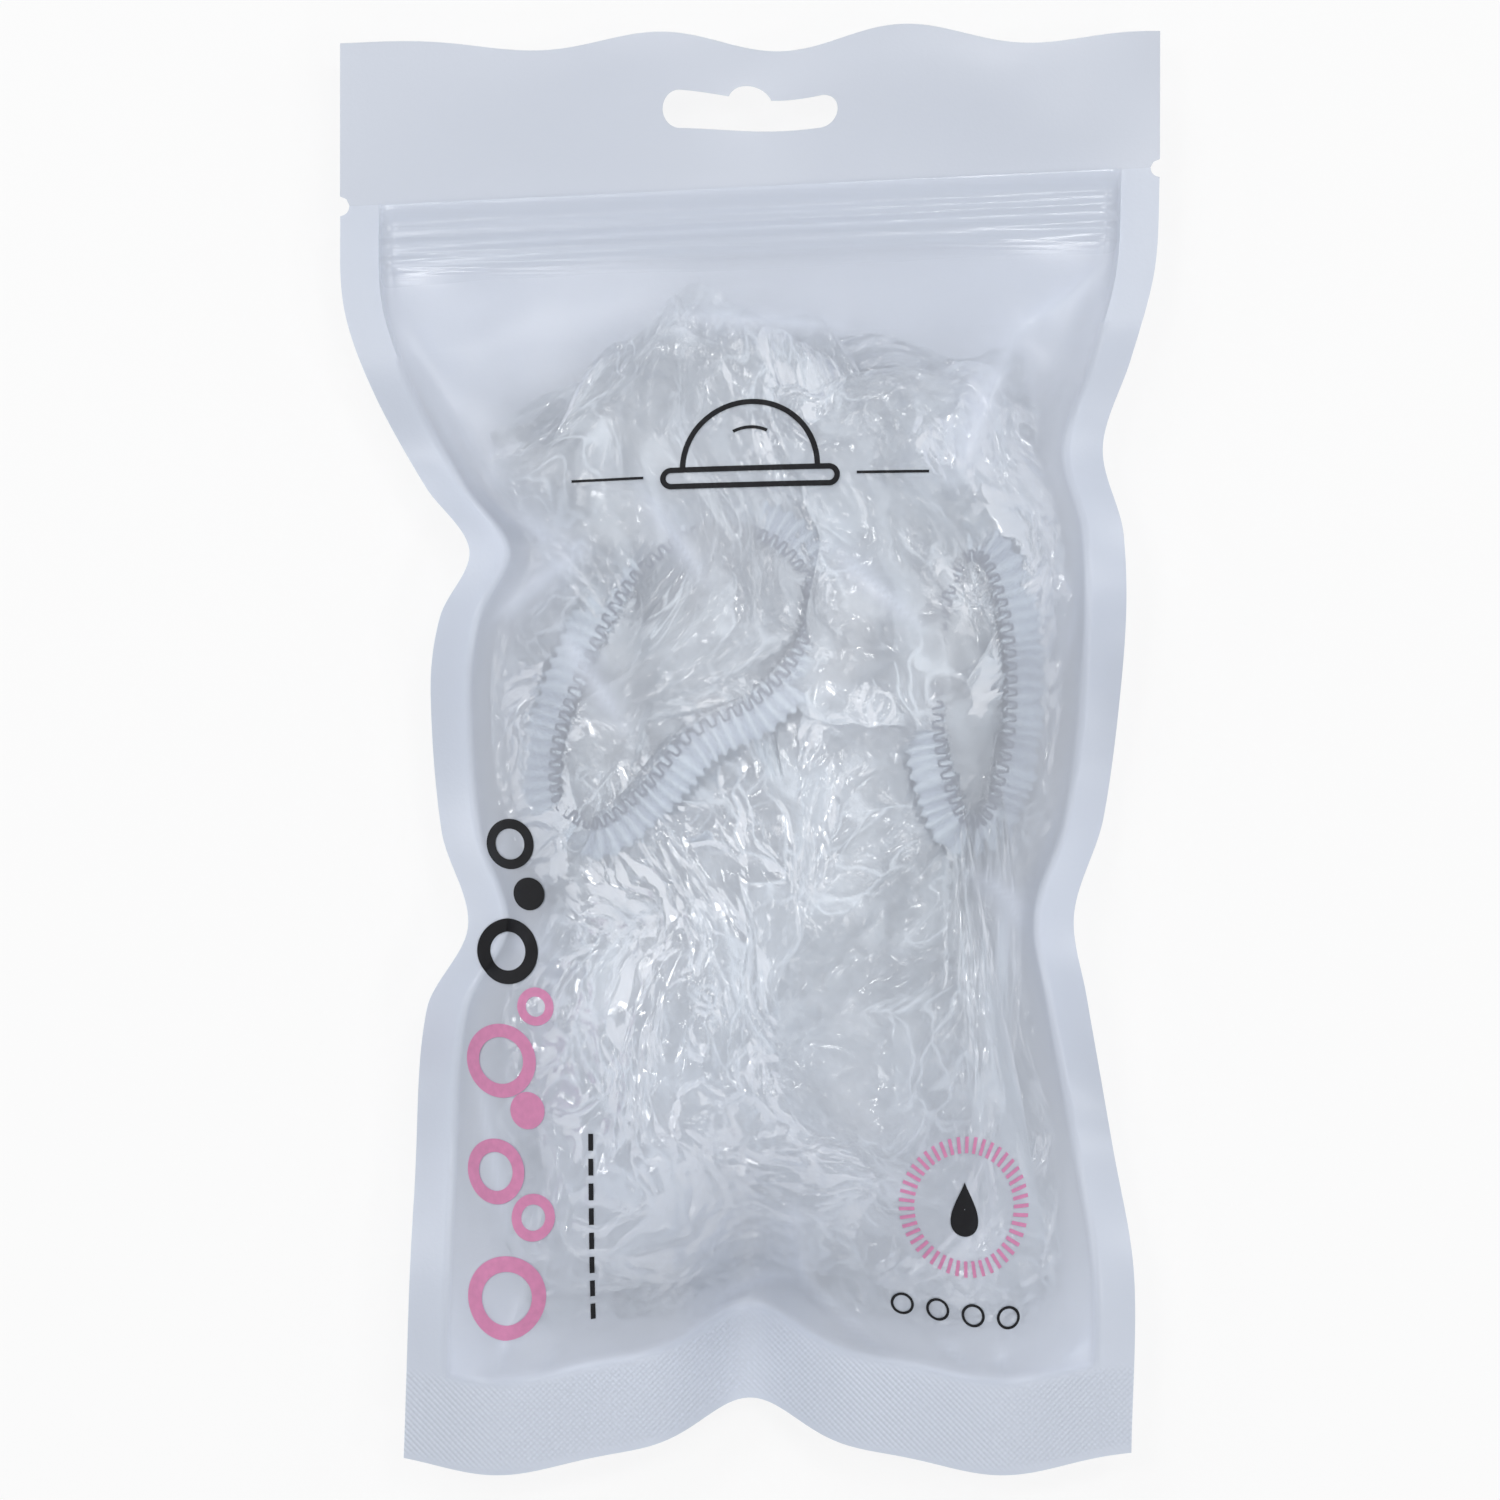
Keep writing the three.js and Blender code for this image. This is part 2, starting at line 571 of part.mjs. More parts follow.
// Materials
function look(color, roughness, opacity = 1) {
  return new THREE.MeshStandardMaterial({ color, roughness, metalness: 0, opacity, transparent: opacity < 1 });
}
const frostedFilm = look(0xccd4e0, 0.35, 0.5);
const zipPlastic = look(0xdde3ec, 0.3, 0.8);
const clearFilm = look(0xe6ecf5, 0.12, 0.35);
const hemFilm = look(0xdfe5f0, 0.45);
const rubber = look(0xf2f2ee, 0.7);
const thread = look(0x8d95a6, 0.8);

const pouch = new THREE.Group();

function add(name, geometry, material) {
  const mesh = new THREE.Mesh(geometry, material);
  mesh.name = name;
  pouch.add(mesh);
}

add("front_film", frontFilm(), frostedFilm);
add("back_film", backFilm(), frostedFilm);
add("front_lip", frontLip(), frostedFilm);
add("tear_off_header", tearOffHeader(), frostedFilm);
add("zip_rib", zipRib(), zipPlastic);
add("zip_channel", zipChannel(), zipPlastic);
for (const cap of CAPS) {
  add(`${cap.name}_crown`, crown(cap), clearFilm);
  add(`${cap.name}_hem_casing`, hemCasing(cap), hemFilm);
  add(`${cap.name}_elastic`, elastic(cap), rubber);
  add(`${cap.name}_stitching`, stitching(cap), thread);
}

export default pouch;
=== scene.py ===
"""A frosted zip-top film pouch packed with four crumpled clear shower caps, lying on its back.

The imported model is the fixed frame. The films, the caps and their hems are worked out here as surfaces
over grids, in millimetres in the frame's own axes: x across the pouch, y from the bottom seal to the
hang slot, z up.
"""

import math

import bpy
import numpy as np
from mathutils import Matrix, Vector


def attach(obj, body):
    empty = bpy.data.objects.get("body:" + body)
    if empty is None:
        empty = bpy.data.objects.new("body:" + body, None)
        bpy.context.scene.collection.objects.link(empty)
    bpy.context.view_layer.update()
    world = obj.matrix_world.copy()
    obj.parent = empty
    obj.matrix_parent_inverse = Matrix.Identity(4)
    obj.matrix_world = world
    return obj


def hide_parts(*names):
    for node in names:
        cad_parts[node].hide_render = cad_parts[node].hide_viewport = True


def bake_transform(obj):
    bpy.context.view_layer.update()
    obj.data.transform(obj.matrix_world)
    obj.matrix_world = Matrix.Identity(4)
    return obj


bl_info = {
    "name": "Shower cap pouch",
    "version": (1, 0, 0),
    "blender": (4, 5, 0),
    "location": "View3D > Sidebar > Pouch",
    "description": "Builds a zip-top film pouch packed with crumpled shower caps around its packed model",
    "category": "Add Mesh",
}

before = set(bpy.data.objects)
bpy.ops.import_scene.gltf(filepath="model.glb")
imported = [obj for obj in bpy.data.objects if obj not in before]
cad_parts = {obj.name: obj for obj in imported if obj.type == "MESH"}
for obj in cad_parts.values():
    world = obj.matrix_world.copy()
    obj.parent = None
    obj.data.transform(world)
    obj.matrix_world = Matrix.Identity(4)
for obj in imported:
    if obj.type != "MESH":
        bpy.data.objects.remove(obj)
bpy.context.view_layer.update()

MM = 0.001

# Slopes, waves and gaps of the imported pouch, in millimetres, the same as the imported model's
ZIP_SLOPE = 0.048
TOP_SLOPE = 0.01
TOP_WAVE = 2.4
TOP_WAVE_LENGTH = 47
TOP_WAVE_CREST = -18
TOP_WAVE_PLACE = 10
TOP_WAVE_SPAN = 60
BOTTOM_RISE = 8.5
BOTTOM_DIP = 8
BOTTOM_LOBE = 4
DIP_SPAN = 12
LOBE_SPAN = 16
LOBE_PLACE = 46
EDGE_WAVE = 8
EDGE_WAVE_LENGTH = 70
HEADER_WAVE = 3
ZIP_OPEN = 1.9
FILM = 0.4
WELD_GAP = 0.3

# The pouch's cross section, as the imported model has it: the power that rounds its dome, how much faster
# than the dome the films part over the zip and the back sags, and the sag as a share of the seal level
LENS_POWER = 2.5
ZIP_SPREAD = 12
SAG_SPREAD = 1.7
SAG = 1.25

# The caps' room and hem loops, in millimetres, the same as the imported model's
CAPS_ABOVE_SEAL = 10
CAPS_BELOW_FOLD = 3
BACK_DEPTH = 0.45
CAP_CLEARANCE = 0.3
HEM_REST = 0.8
FRONT_ROOM = 3
BACK_ROOM = 0.4
CROWN_POWER = 2.4
NARROW_LOOP = (9.5, 27)
NARROW_LOOP_UP = 25
BACK_LOOP = (26, 18)

# The share of light that a weld stops, the knurl's pitch in metres, and the index that sets how strongly
# each film mirrors
WELD_OPACITY = 0.94
KNURL_PITCH = 0.0011
POUCH_FILM_INDEX = 1.5
CAP_FILM_INDEX = 1.9

# How far the print lies above the front film, the places of its marks across and up the bag, and the
# height at which the bubbles change from pink to dark, in millimetres
PRINT_LIFT = 0.22
CAP_SIGN = (0, 176.7)
TICK_RING = (38.4, 47.5)
RING_ROW = (27.5, 29)
DASHED_RULE = (-28.4, 26)
BUBBLES_CHANGE = 88

# The table's reach on each side and how far it lies below the pouch, and the camera's sensor, in millimetres
FLOOR_REACH = 1500
FLOOR_DROP = 0.3
SENSOR = 36

# Where the side edges are drawn in, as (share of the body's height, share of the deepest pinch)
LEFT_INSETS = (
    (0, 0.49), (0.2, 0.56), (0.35, 0.67), (0.415, 0.98), (0.49, 0.77), (0.6, 0.69),
    (0.66, 0.77), (0.715, 0.99), (0.77, 0.65), (0.85, 0.26), (0.92, 0.03), (1, 0),
)
RIGHT_INSETS = (
    (0, 0.22), (0.14, 0.2), (0.24, 0.35), (0.36, 0.57), (0.425, 0.66), (0.5, 0.42),
    (0.6, 0.3), (0.72, 0.29), (0.785, 0.43), (0.85, 0.22), (0.92, 0.04), (1, 0),
)
# How full the pouch is along the space between its bottom seal and its zip, as (share, fullness)
FULLNESS = ((0, 0), (0.1, 0.55), (0.22, 0.86), (0.45, 1), (0.62, 0.97), (0.8, 0.66), (0.92, 0.24), (1, 0))

# Creases of the front film, from one end to the other in millimetres across and up the bag, then the ridge's
# height and the span over which it falls away
FRONT_CREASES = (
    (69, 217, 48, 201, 2.6, 7), (48, 201, 37, 176, 2.6, 8),
    (-69, 210, -55, 186, 2.0, 7), (-60, 194, -47, 170, 2.0, 8),
    (-59, 178, -31, 165, 2.4, 6), (-31, 164, -49, 150, 2.4, 6),
    (-47, 164, -53, 152, 0.9, 2), (55, 178, 63, 171, 1.2, 3),
    (40, 106, 55, 96, 2.2, 5), (46, 101, 56, 90, 1.4, 4),
    (-53, 96, -36, 92, 1.8, 5), (-50, 101, -44, 112, 1.2, 4),
    (10, 29, -13, 13, 2.2, 4), (10, 29, 30, 15, 2.2, 4), (10, 27, 8, 44, 1.6, 5),
    (-43, 28, -49, 13, 1.8, 3), (-36, 21, -39, 15, 1.2, 2.5),
    (35, 23, 40, 19, 1.2, 2.5), (45, 23, 47, 17, 1.4, 3), (57, 19, 63, 22, -0.9, 1.6),
    (62, 167, 57, 143, 1.0, 4), (60, 126, 54, 108, 1.2, 4),
    (-52, 148, -53, 118, 0.9, 3), (-20, 176, -8, 158, 1.0, 4), (-34, 150, -22, 132, -0.9, 5),
    (14, 164, 30, 150, 0.9, 4), (-14, 208, 16, 204, 0.8, 5), (-50, 70, -44, 44, 1.0, 5),
)
# The front left hem's loop, drawn in by its elastic, as shares of its length from its crown's middle
BENT_LOOP = (
    (-0.17, 0.83), (-0.34, 0.55), (-0.45, 0.24), (-0.43, 0.05), (-0.28, -0.03), (-0.1, 0.09),
    (0.05, 0.26), (0.24, 0.36), (0.38, 0.52), (0.43, 0.72), (0.31, 0.91), (0.07, 0.97),
)
# Facets of the crumpled film, as width in millimetres and share of the largest facets' height
FACETS = ((24, 1.0), (11, 0.66), (5.4, 0.4), (2.9, 0.22))
# Steps round a hem's loop at which the film is held to it
LOOP_STEPS = 720
# Each cap's number, whether it lies in front, the stretches of the bag that its crown takes, as shares of
# the width between the side seals and of the height that the caps fill, the stretches over which its
# crumpled film spreads, and the stretches of its hem's loop that show through the front film
CAPS = (
    (1, True, (-0.93, 0.36), (0, 1), (-0.97, 0.55), (-0.05, 1.04), ((0, 0.27), (0.45, 0.74))),
    (2, True, (0.4, 0.95), (0, 1), (0.0, 0.97), (-0.05, 1.0), ((0.6, 1.2),)),
    (3, False, (-0.85, 0.85), (0.5, 1), (-0.95, 0.95), (0.46, 1.03), ()),
    (4, False, (-0.85, 0.85), (0, 0.5), (-0.95, 0.95), (-0.05, 0.54), ()),
)
# Printed bubbles up the left side, as middle across and up the bag, outer radius and line
BUBBLES = (
    (-44, 32, 7.2, 2.6), (-39, 45.5, 4.0, 1.8), (-46, 53, 5.4, 2.2),
    (-40, 63.5, 3.2, 3.2), (-45, 72, 6.6, 2.4), (-38.5, 82, 3.4, 1.6),
    (-44, 91.5, 5.8, 2.4), (-40, 102, 3.0, 3.0), (-43.5, 111, 4.6, 1.8),
)
# Lamps, as name, place in metres, width and length in metres, and share of the lamp power
LAMPS = (
    ("lamp_head", (-0.35, 0.75, 0.85), 0.45, 0.30, 0.66),
    ("lamp_foot", (0.05, -0.80, 0.55), 0.45, 0.30, 0.1),
    ("lamp_left", (-0.80, 0.10, 0.52), 0.25, 0.35, 0.3),
    ("lamp_right", (0.80, 0.15, 0.55), 0.25, 0.35, 0.28),
    ("lamp_foot_right", (0.35, -0.50, 0.90), 0.12, 0.12, 0.25),
    ("lamp_foot_left", (-0.30, -0.60, 0.80), 0.12, 0.12, 0.15),
    ("lamp_above_right", (0.24, 0.30, 1.00), 0.16, 0.16, 0.36),
    ("lamp_above_left", (-0.28, 0.16, 1.00), 0.16, 0.16, 0.36),
    ("lamp_side", (0.50, -0.10, 0.90), 0.12, 0.12, 0.22),
    ("lamp_zip", (0.10, 0.22, 1.00), 0.16, 0.05, 0.12),
)


def length(name, description, millimetres):
    """A size that a user may change, kept in metres."""
    return bpy.props.FloatProperty(
        name=name,
        description=description,
        default=millimetres * MM,
        precision=5,
        subtype="DISTANCE",
        unit="LENGTH",
    )


def share(name, description, default):
    """A share from 0 to 1 that a user may change."""
    return bpy.props.FloatProperty(
        name=name, description=description, default=default, min=0, max=1, subtype="FACTOR"
    )


def colour(name, description, default):
    """A colour that a user may change, in linear light."""
    return bpy.props.FloatVectorProperty(
        name=name, description=description, default=default, size=3, min=0, max=1, subtype="COLOR"
    )


class PouchSizes(bpy.types.PropertyGroup):
    """Sizes of the pouch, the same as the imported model's."""

    width: length("Width", "Pouch from side edge to side edge before it is packed", 150)
    body_height: length("Body height", "From the bottom edge to the tear line", 231)
    header_height: length("Header height", "From the tear line to the top edge", 27)
    side_seal: length("Side seal", "Width of each side seal", 7)
    bottom_seal: length("Bottom seal", "Height of the knurled bottom seal", 18)
    seal_level: length("Seal level", "Height of the sealed edges above the table", 16)
    bulge: length("Bulge", "How far the front film stands above the seals", 33)
    lip_height: length("Lip height", "From the fold that the front lip turns on to the tear line", 28)
    pinch: length("Pinch", "How far the deepest pinch draws a side edge in", 24)
    slot_length: length("Slot length", "Length of the hang slot", 32)
    slot_width: length("Slot width", "Height of the hang slot", 6.4)
    slot_hump: length("Slot hump", "Radius of the hump over the slot's middle", 4.2)
    slot_below_top: length("Slot below top", "From the top edge to the slot's middle", 13)
    notch_radius: length("Notch radius", "Radius of the two tear notches", 1.7)
    zip_below_tear: length("Zip below tear", "From the tear line to the zip", 8)
    zip_flange: length("Zip flange", "Width of the zip's strips", 8)


class CapSizes(bpy.types.PropertyGroup):
    """Sizes of the shower caps."""

    flat_diameter: length("Flat diameter", "Cap's film before its hem is gathered", 340)
    hem_loop: length("Hem loop", "Length of the front left cap's hem loop", 58)
    hem_width: length("Hem width", "Width of the gathered casing", 7)
    hem_thickness: length("Hem thickness", "Thickness of the gathered casing", 2.4)
    gather_pitch: length("Gather pitch", "Distance between the casing's gathers", 2.2)
    gather_depth: length("Gather depth", "Depth of the casing's gathers", 0.5)
    stitch_pitch: length("Stitch pitch", "Distance over which the overlock thread goes out and back", 2.4)
    thread: length("Thread", "Diameter of the overlock thread", 0.42)
    crumple: length("Crumple", "Height of the largest facets of the crumpled film", 2.6)


class Finishes(bpy.types.PropertyGroup):
    """Colours and opacities of the films, hems, zip and print."""

    film: colour("Film", "Frosted pouch film", (0.78, 0.84, 0.97))
    header: colour("Header", "Frosted film of the sealed header", (0.58, 0.625, 0.72))
    sealed: colour("Sealed film", "Front film along the seals", (0.64, 0.69, 0.79))
    back: colour("Back", "Frosted film behind the caps", (0.88, 0.92, 1.0))
    film_opacity: share("Film opacity", "Light that the front ply stops where the caps press on it", 0.36)
    back_opacity: share("Back opacity", "Light that the back ply stops, lying on the table", 0.85)
    header_opacity: share("Header opacity", "Light that the sealed header stops", 0.92)
    cap: colour("Cap film", "Haze of the clear cap film", (0.92, 0.97, 1.0))
    cap_haze: share("Cap haze", "Share of the light that the cap film scatters", 0.18)
    hem: colour("Hem", "Gathered casing of the caps", (0.78, 0.86, 1.0))
    elastic: colour("Elastic", "Flat elastic inside the casing", (0.82, 0.85, 0.92))
    # The thread's dark grey is painted shade: it stands for the shadows in the gaps between the stitches
    thread: colour("Thread", "Overlock thread", (0.16, 0.17, 0.21))
    zip: colour("Zip", "Zip strips", (0.84, 0.88, 0.95))
    dark_ink: colour("Dark ink", "Black print", (0.012, 0.012, 0.014))
    pink_ink: colour("Pink ink", "Pink print", (0.74, 0.29, 0.50))
    floor: colour("Floor", "Table that the pouch lies on", (0.90, 0.90, 0.90))


class StageSizes(bpy.types.PropertyGroup):
    """Camera and lights."""

    camera_height: length("Camera height", "Camera above the sealed edges", 850)
    view_width: length("View width", "Width of the picture at the sealed edges", 274.35)
    view_up: length("View up", "How far up the pouch the picture's middle lies", -0.2)
    soft_light: bpy.props.FloatProperty(
        name="Soft light", description="Strength of the even light all round", default=0.27, min=0
    )
    lamp_power: bpy.props.FloatProperty(
        name="Lamp power",
        description="Power of each lamp before its own share",
        default=3.2,
        min=0,
        unit="POWER",
    )


# Curves and noise


def smoothstep(low, high, x):
    """A smooth step from 0 at low to 1 at high: 3t^2 - 2t^3 of the share t of the way."""
    t = np.clip((x - low) / (high - low), 0, 1)
    return t * t * (3 - 2 * t)


def bell(x, span):
    """exp(-(x / span)^2)."""
    return np.exp(-((x / span) ** 2))


def through(points, x):
    """A smooth curve through (x, value) points: cubic pieces whose slope at a point is that between its
    neighbours, flat beyond the ends."""
    at, value = np.array(points, float).T
    before = np.maximum(np.arange(len(at)) - 1, 0)
    after = np.minimum(np.arange(len(at)) + 1, len(at) - 1)
    slope = (value[after] - value[before]) / (at[after] - at[before])
    x = np.clip(x, at[0], at[-1])
    i = np.clip(np.searchsorted(at, x) - 1, 0, len(at) - 2)
    step = at[i + 1] - at[i]
    t = (x - at[i]) / step
    rise = value[i + 1] - value[i]
    first = slope[i] * step
    second = 3 * rise - step * (2 * slope[i] + slope[i + 1])
    third = step * (slope[i] + slope[i + 1]) - 2 * rise
    return value[i] + t * (first + t * (second + t * third))


def heights(seed, i, j):
    """Random heights from -1 to 1 at whole places (i, j) of a lattice that repeats every 128 steps."""
    table = np.random.default_rng(seed).uniform(-1, 1, (128, 128))
    return table[i % 128, j % 128]


def soft_noise(x, y, cell, seed):
    """Random heights on a square lattice, joined by smooth steps."""
    p, q = x / cell, y / cell
    i, j = np.floor(p).astype(int), np.floor(q).astype(int)
    f, g = smoothstep(0, 1, p - i), smoothstep(0, 1, q - j)
    low = heights(seed, i, j) * (1 - f) + heights(seed, i + 1, j) * f
    high = heights(seed, i, j + 1) * (1 - f) + heights(seed, i + 1, j + 1) * f
    return low * (1 - g) + high * g


def facet_noise(x, y, cell, seed):
    """Random heights on a lattice of triangles, joined by flat facets with sharp creases between them."""
    p = (x - y / math.sqrt(3)) / cell
    q = 2 * y / math.sqrt(3) / cell
    i, j = np.floor(p).astype(int), np.floor(q).astype(int)
    f, g = p - i, q - j
    beside, above = heights(seed, i + 1, j), heights(seed, i, j + 1)
    near = heights(seed, i, j) * (1 - f - g) + beside * f + above * g
    far = heights(seed, i + 1, j + 1) * (f + g - 1) + beside * (1 - g) + above * (1 - f)
    return np.where(f + g < 1, near, far)


def facet_edges(x, y, cell, seed, width):
    """1 along the creases between the facets of the same lattice, falling to 0 within the width, on a random
    part of them. The cap film's finish paints glints along them."""
    p = (x - y / math.sqrt(3)) / cell
    q = 2 * y / math.sqrt(3) / cell
    f, g = p - np.floor(p), q - np.floor(q)
    away = np.minimum(np.minimum(np.minimum(f, 1 - f), np.minimum(g, 1 - g)), np.abs(1 - f - g)) * cell
    some = smoothstep(-0.1, 0.5, soft_noise(x, y, 0.8 * cell, seed))
    return (1 - smoothstep(0, width, away)) * some


def ridge_along(x, s, crease):
    """A crease: height * exp(-d / span) for the distance d from the line between its ends, fading out
    smoothly towards both ends."""
    x0, s0, x1, s1, height, span = crease
    along = np.array([x1 - x0, s1 - s0], float)
    size = np.hypot(*along)
    along /= size
    t = ((x - x0) * along[0] + (s - s0) * along[1]) / size
    away = (s - s0) * along[0] - (x - x0) * along[1]
    past = np.maximum(np.maximum(-t, t - 1), 0) * size
    fade = 0.35 + 0.65 * smoothstep(0, 0.3, t) * (1 - smoothstep(0.7, 1, t))
    return height * np.exp(-np.sqrt(away * away + 0.16) / span) * bell(past, span) * fade


# The pouch's film


class Bag:
    """The pouch's film in millimetres. s is the height up the bag from its bottom edge, and x the place
    across."""

    def __init__(self, sizes):
        self.half = 500 * sizes.width
        self.body = 1000 * sizes.body_height
        self.top = self.body + 1000 * sizes.header_height
        self.seal = 1000 * sizes.side_seal
        self.foot = 1000 * sizes.bottom_seal
        self.level = 1000 * sizes.seal_level
        self.bulge = 1000 * sizes.bulge
        self.pinch = 1000 * sizes.pinch
        self.zip = self.body - 1000 * sizes.zip_below_tear
        self.flange = 1000 * sizes.zip_flange
        self.lip = 1000 * sizes.lip_height
        self.fold = self.body - self.lip
        self.notch = 1000 * sizes.notch_radius
        x = np.linspace(-self.half, self.half, 301)
        self.middle = (self.rise(np.float64(self.top), x).max() + self.rise(np.float64(0), x).min()) / 2

    def left(self, s):
        """The left edge: half the width, less the pinch times the smooth curve through its insets."""
        return -self.half + self.pinch * through(LEFT_INSETS, s / self.body)

    def right(self, s):
        """The right edge, in the same way."""
        return self.half - self.pinch * through(RIGHT_INSETS, s / self.body)

    def notch_cut(self, s):
        """How far the round tear notch cuts an edge in at height s."""
        return np.sqrt(np.maximum(self.notch**2 - (s - self.body) ** 2, 0))

    def foot_fade(self, s):
        """1 over the bottom seal, falling smoothly to 0 at four times its height."""
        return 1 - smoothstep(self.foot, 4 * self.foot, s)

    @staticmethod
    def lobes(x):
        """A bell on each side of the bottom seal's middle."""
        return bell(x - LOBE_PLACE, LOBE_SPAN) + bell(x + LOBE_PLACE, LOBE_SPAN)

    def rise(self, s, x):
        """Height on the table: s, sloped across the zip, waved along the top edge, with the bottom seal
        drawn up in the middle and swelling beside it."""
        up = ZIP_SLOPE * smoothstep(self.fold - 2 * self.lip, self.fold, s)
        over = ZIP_SLOPE + (TOP_SLOPE - ZIP_SLOPE) * (s - self.body) / (self.top - self.body)
        slope = np.where(s > self.body, over, up)
        wave = TOP_WAVE * np.cos(2 * math.pi * (x - TOP_WAVE_CREST) / TOP_WAVE_LENGTH)
        wave = wave * bell(x - TOP_WAVE_PLACE, TOP_WAVE_SPAN) * smoothstep(self.body, self.top, s)
        foot = BOTTOM_RISE * bell(x, DIP_SPAN) - BOTTOM_LOBE * self.lobes(x)
        return s + slope * x + wave + foot * self.foot_fade(s)

    def y(self, s, x):
        """Height on the table from the middle of the pouch."""
        return self.rise(s, x) - self.middle

    def seal_z(self, s, x):
        """Level where the two plies meet: waved along the side edges, the bottom seal and the header."""
        foot = (BOTTOM_LOBE * self.lobes(x) - BOTTOM_DIP * bell(x, DIP_SPAN)) * self.foot_fade(s)
        side = EDGE_WAVE * np.sin(2 * math.pi * s / EDGE_WAVE_LENGTH) * (x / self.half) ** 4
        side = side * (1 - self.foot_fade(s)) * (1 - smoothstep(self.fold - self.lip, self.fold, s))
        head = HEADER_WAVE * np.sin(math.pi * x / self.half) * smoothstep(self.zip, self.top, s)
        return self.level + foot + side + head

    def across(self, s, x):
        """Place between the side seals, from -1 at the left one to 1 at the right one."""
        low = self.left(s) + self.seal
        high = self.right(s) - self.seal
        return np.clip((2 * x - low - high) / (high - low), -1, 1)

    def at_share(self, s, part):
        """The other way round from across: x for a place from -1 to 1."""
        low = self.left(s) + self.seal
        high = self.right(s) - self.seal
        return low + (high - low) * (part + 1) / 2

    def lens(self, s, x):
        """1 - |across|^2.5: 0 at the side seals and 1 in the middle."""
        return 1 - np.abs(self.across(s, x)) ** LENS_POWER

    def fill(self, s):
        """The smooth curve through the fullness, between the bottom seal and the zip."""
        return through(FULLNESS, (s - self.foot) / (self.zip - self.foot))

    def zip_lift(self, s, x):
        """How far a film stands off the seal level: rising from the fold, level over the zip's strips and
        falling to the tear line."""
        up = smoothstep(self.fold, self.zip - self.flange / 2, s)
        down = 1 - smoothstep(self.zip + self.flange / 2, self.body, s)
        return ZIP_OPEN * np.minimum(1, ZIP_SPREAD * self.lens(s, x)) * up * down

    def front_z(self, s, x):
        """The front film's inner face: the seal level, domed as bulge * fill(s) * (1 - |across|^2.5)."""
        dome = self.bulge * self.fill(s) * self.lens(s, x)
        return self.seal_z(s, x) + WELD_GAP / 2 + dome + self.zip_lift(s, x)

    def back_z(self, s, x):
        """The back film's inner face: sagging from the seal level until it lies on the table."""
        sag = SAG * self.level * self.fill(s) * np.minimum(1, SAG_SPREAD * self.lens(s, x))
        return np.maximum(self.seal_z(s, x) - WELD_GAP / 2 - sag - self.zip_lift(s, x), FILM)

    def height_up(self, x, y):
        """The other way round from y: s for a place on the table, by repeated correction."""
        s = y + self.middle
        for _ in range(12):
            s = s + y - self.y(s, x)
        return s

    def inside(self, s, x):
        """1 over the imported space, falling to 0 at the seals."""
        part = smoothstep(0, 0.25, self.lens(s, x)) * smoothstep(self.foot - 2, self.foot + 6, s)
        return part * (1 - smoothstep(self.fold, self.zip - 6, s))

    def front_skin(self, s, x):
        """The front film as it shows: the domed film plus its creases, the ridges over the zip's two lines
        and small dents where the crumpled caps press on it."""
        creased = sum(ridge_along(x, s, crease) for crease in FRONT_CREASES)
        dents = 0.5 * soft_noise(x, s, 17, 3) + 0.25 * facet_noise(x + 3, s, 9, 4)
        beside = np.abs(s - self.zip)
        lines = 0.4 * bell(beside - 1.6, 0.7) + 0.2 * bell(beside - self.flange / 2, 0.8)
        shown = smoothstep(0, 0.06, self.lens(s, x))
        smooth = self.front_z(s, x) + self.off_weld(s, x)
        return smooth + (creased + dents) * self.inside(s, x) + lines * shown

    def off_weld(self, s, x):
        """How far a film's outer face stands off the level of its inner one: drawn in where the plies are
        welded."""
        loose = smoothstep(0, 0.04, self.lens(s, x)) * smoothstep(self.foot - 1.5, self.foot + 1, s)
        return 0.36 * loose - 0.08

    def ridge_highlights(self, s, x):
        """1 along the lines of the front film's creases, falling away faster than they do. The film's finish
        lightens along them, partly as stress whitening and partly as a painted highlight.
        """
        lines = sum(ridge_along(x, s, (*ends, 1, span / 2.5)) for *ends, _, span in FRONT_CREASES)
        return np.minimum(1, lines) * self.inside(s, x)

    def back_skin(self, s, x):
        """The back film as it shows: lying on the table, with shallow wrinkles where it leaves it."""
        base = self.back_z(s, x) - self.off_weld(s, x)
        lifted = smoothstep(0.6, 5, base)
        wrinkles = 0.5 * facet_noise(x, s, 15, 8) + 0.3 * soft_noise(x, s, 8, 9)
        return np.maximum(base + wrinkles * lifted * self.inside(s, x), 0.15)

    def front_place(self, s, x):
        """Points on the front film, with the last axis holding x, y and z."""
        return np.stack([x, self.y(s, x), self.front_skin(s, x)], -1)


# Meshes


def new_piece(name, points, faces, finish, uv=None, marks=None, crease=None):
    """A mesh object from points in millimetres and faces of four corners, with its UV map and point marks.
    Edges that bend by more than the crease, in degrees, stay sharp."""
    mesh = bpy.data.meshes.new(name)
    faces = np.asarray(faces, np.int32)
    corners = faces.shape[1]
    mesh.vertices.add(len(points))
    mesh.vertices.foreach_set("co", (np.asarray(points, np.float64) * MM).astype(np.float32).ravel())
    mesh.loops.add(faces.size)
    mesh.loops.foreach_set("vertex_index", faces.ravel())
    mesh.polygons.add(len(faces))
    mesh.polygons.foreach_set("loop_start", np.arange(0, faces.size, corners, dtype=np.int32))
    mesh.polygons.foreach_set("use_smooth", np.full(len(faces), True))
    mesh.update(calc_edges=True)
    if crease is not None:
        mesh.set_sharp_from_angle(angle=math.radians(crease))
    if uv is not None:
        layer = mesh.uv_layers.new(name="UVMap")
        layer.data.foreach_set("uv", np.asarray(uv, np.float32)[faces.ravel()].ravel())
    for mark, values in (marks or {}).items():
        attribute = mesh.attributes.new(mark, "FLOAT", "POINT")
        attribute.data.foreach_set("value", np.asarray(values, np.float32).ravel())
    if mesh.validate():
        raise RuntimeError(f"{name}: the mesh has faults")
    piece = bpy.data.objects.new(name, mesh)
    piece.data.materials.append(finish)
    bpy.context.scene.collection.objects.link(piece)
    return piece


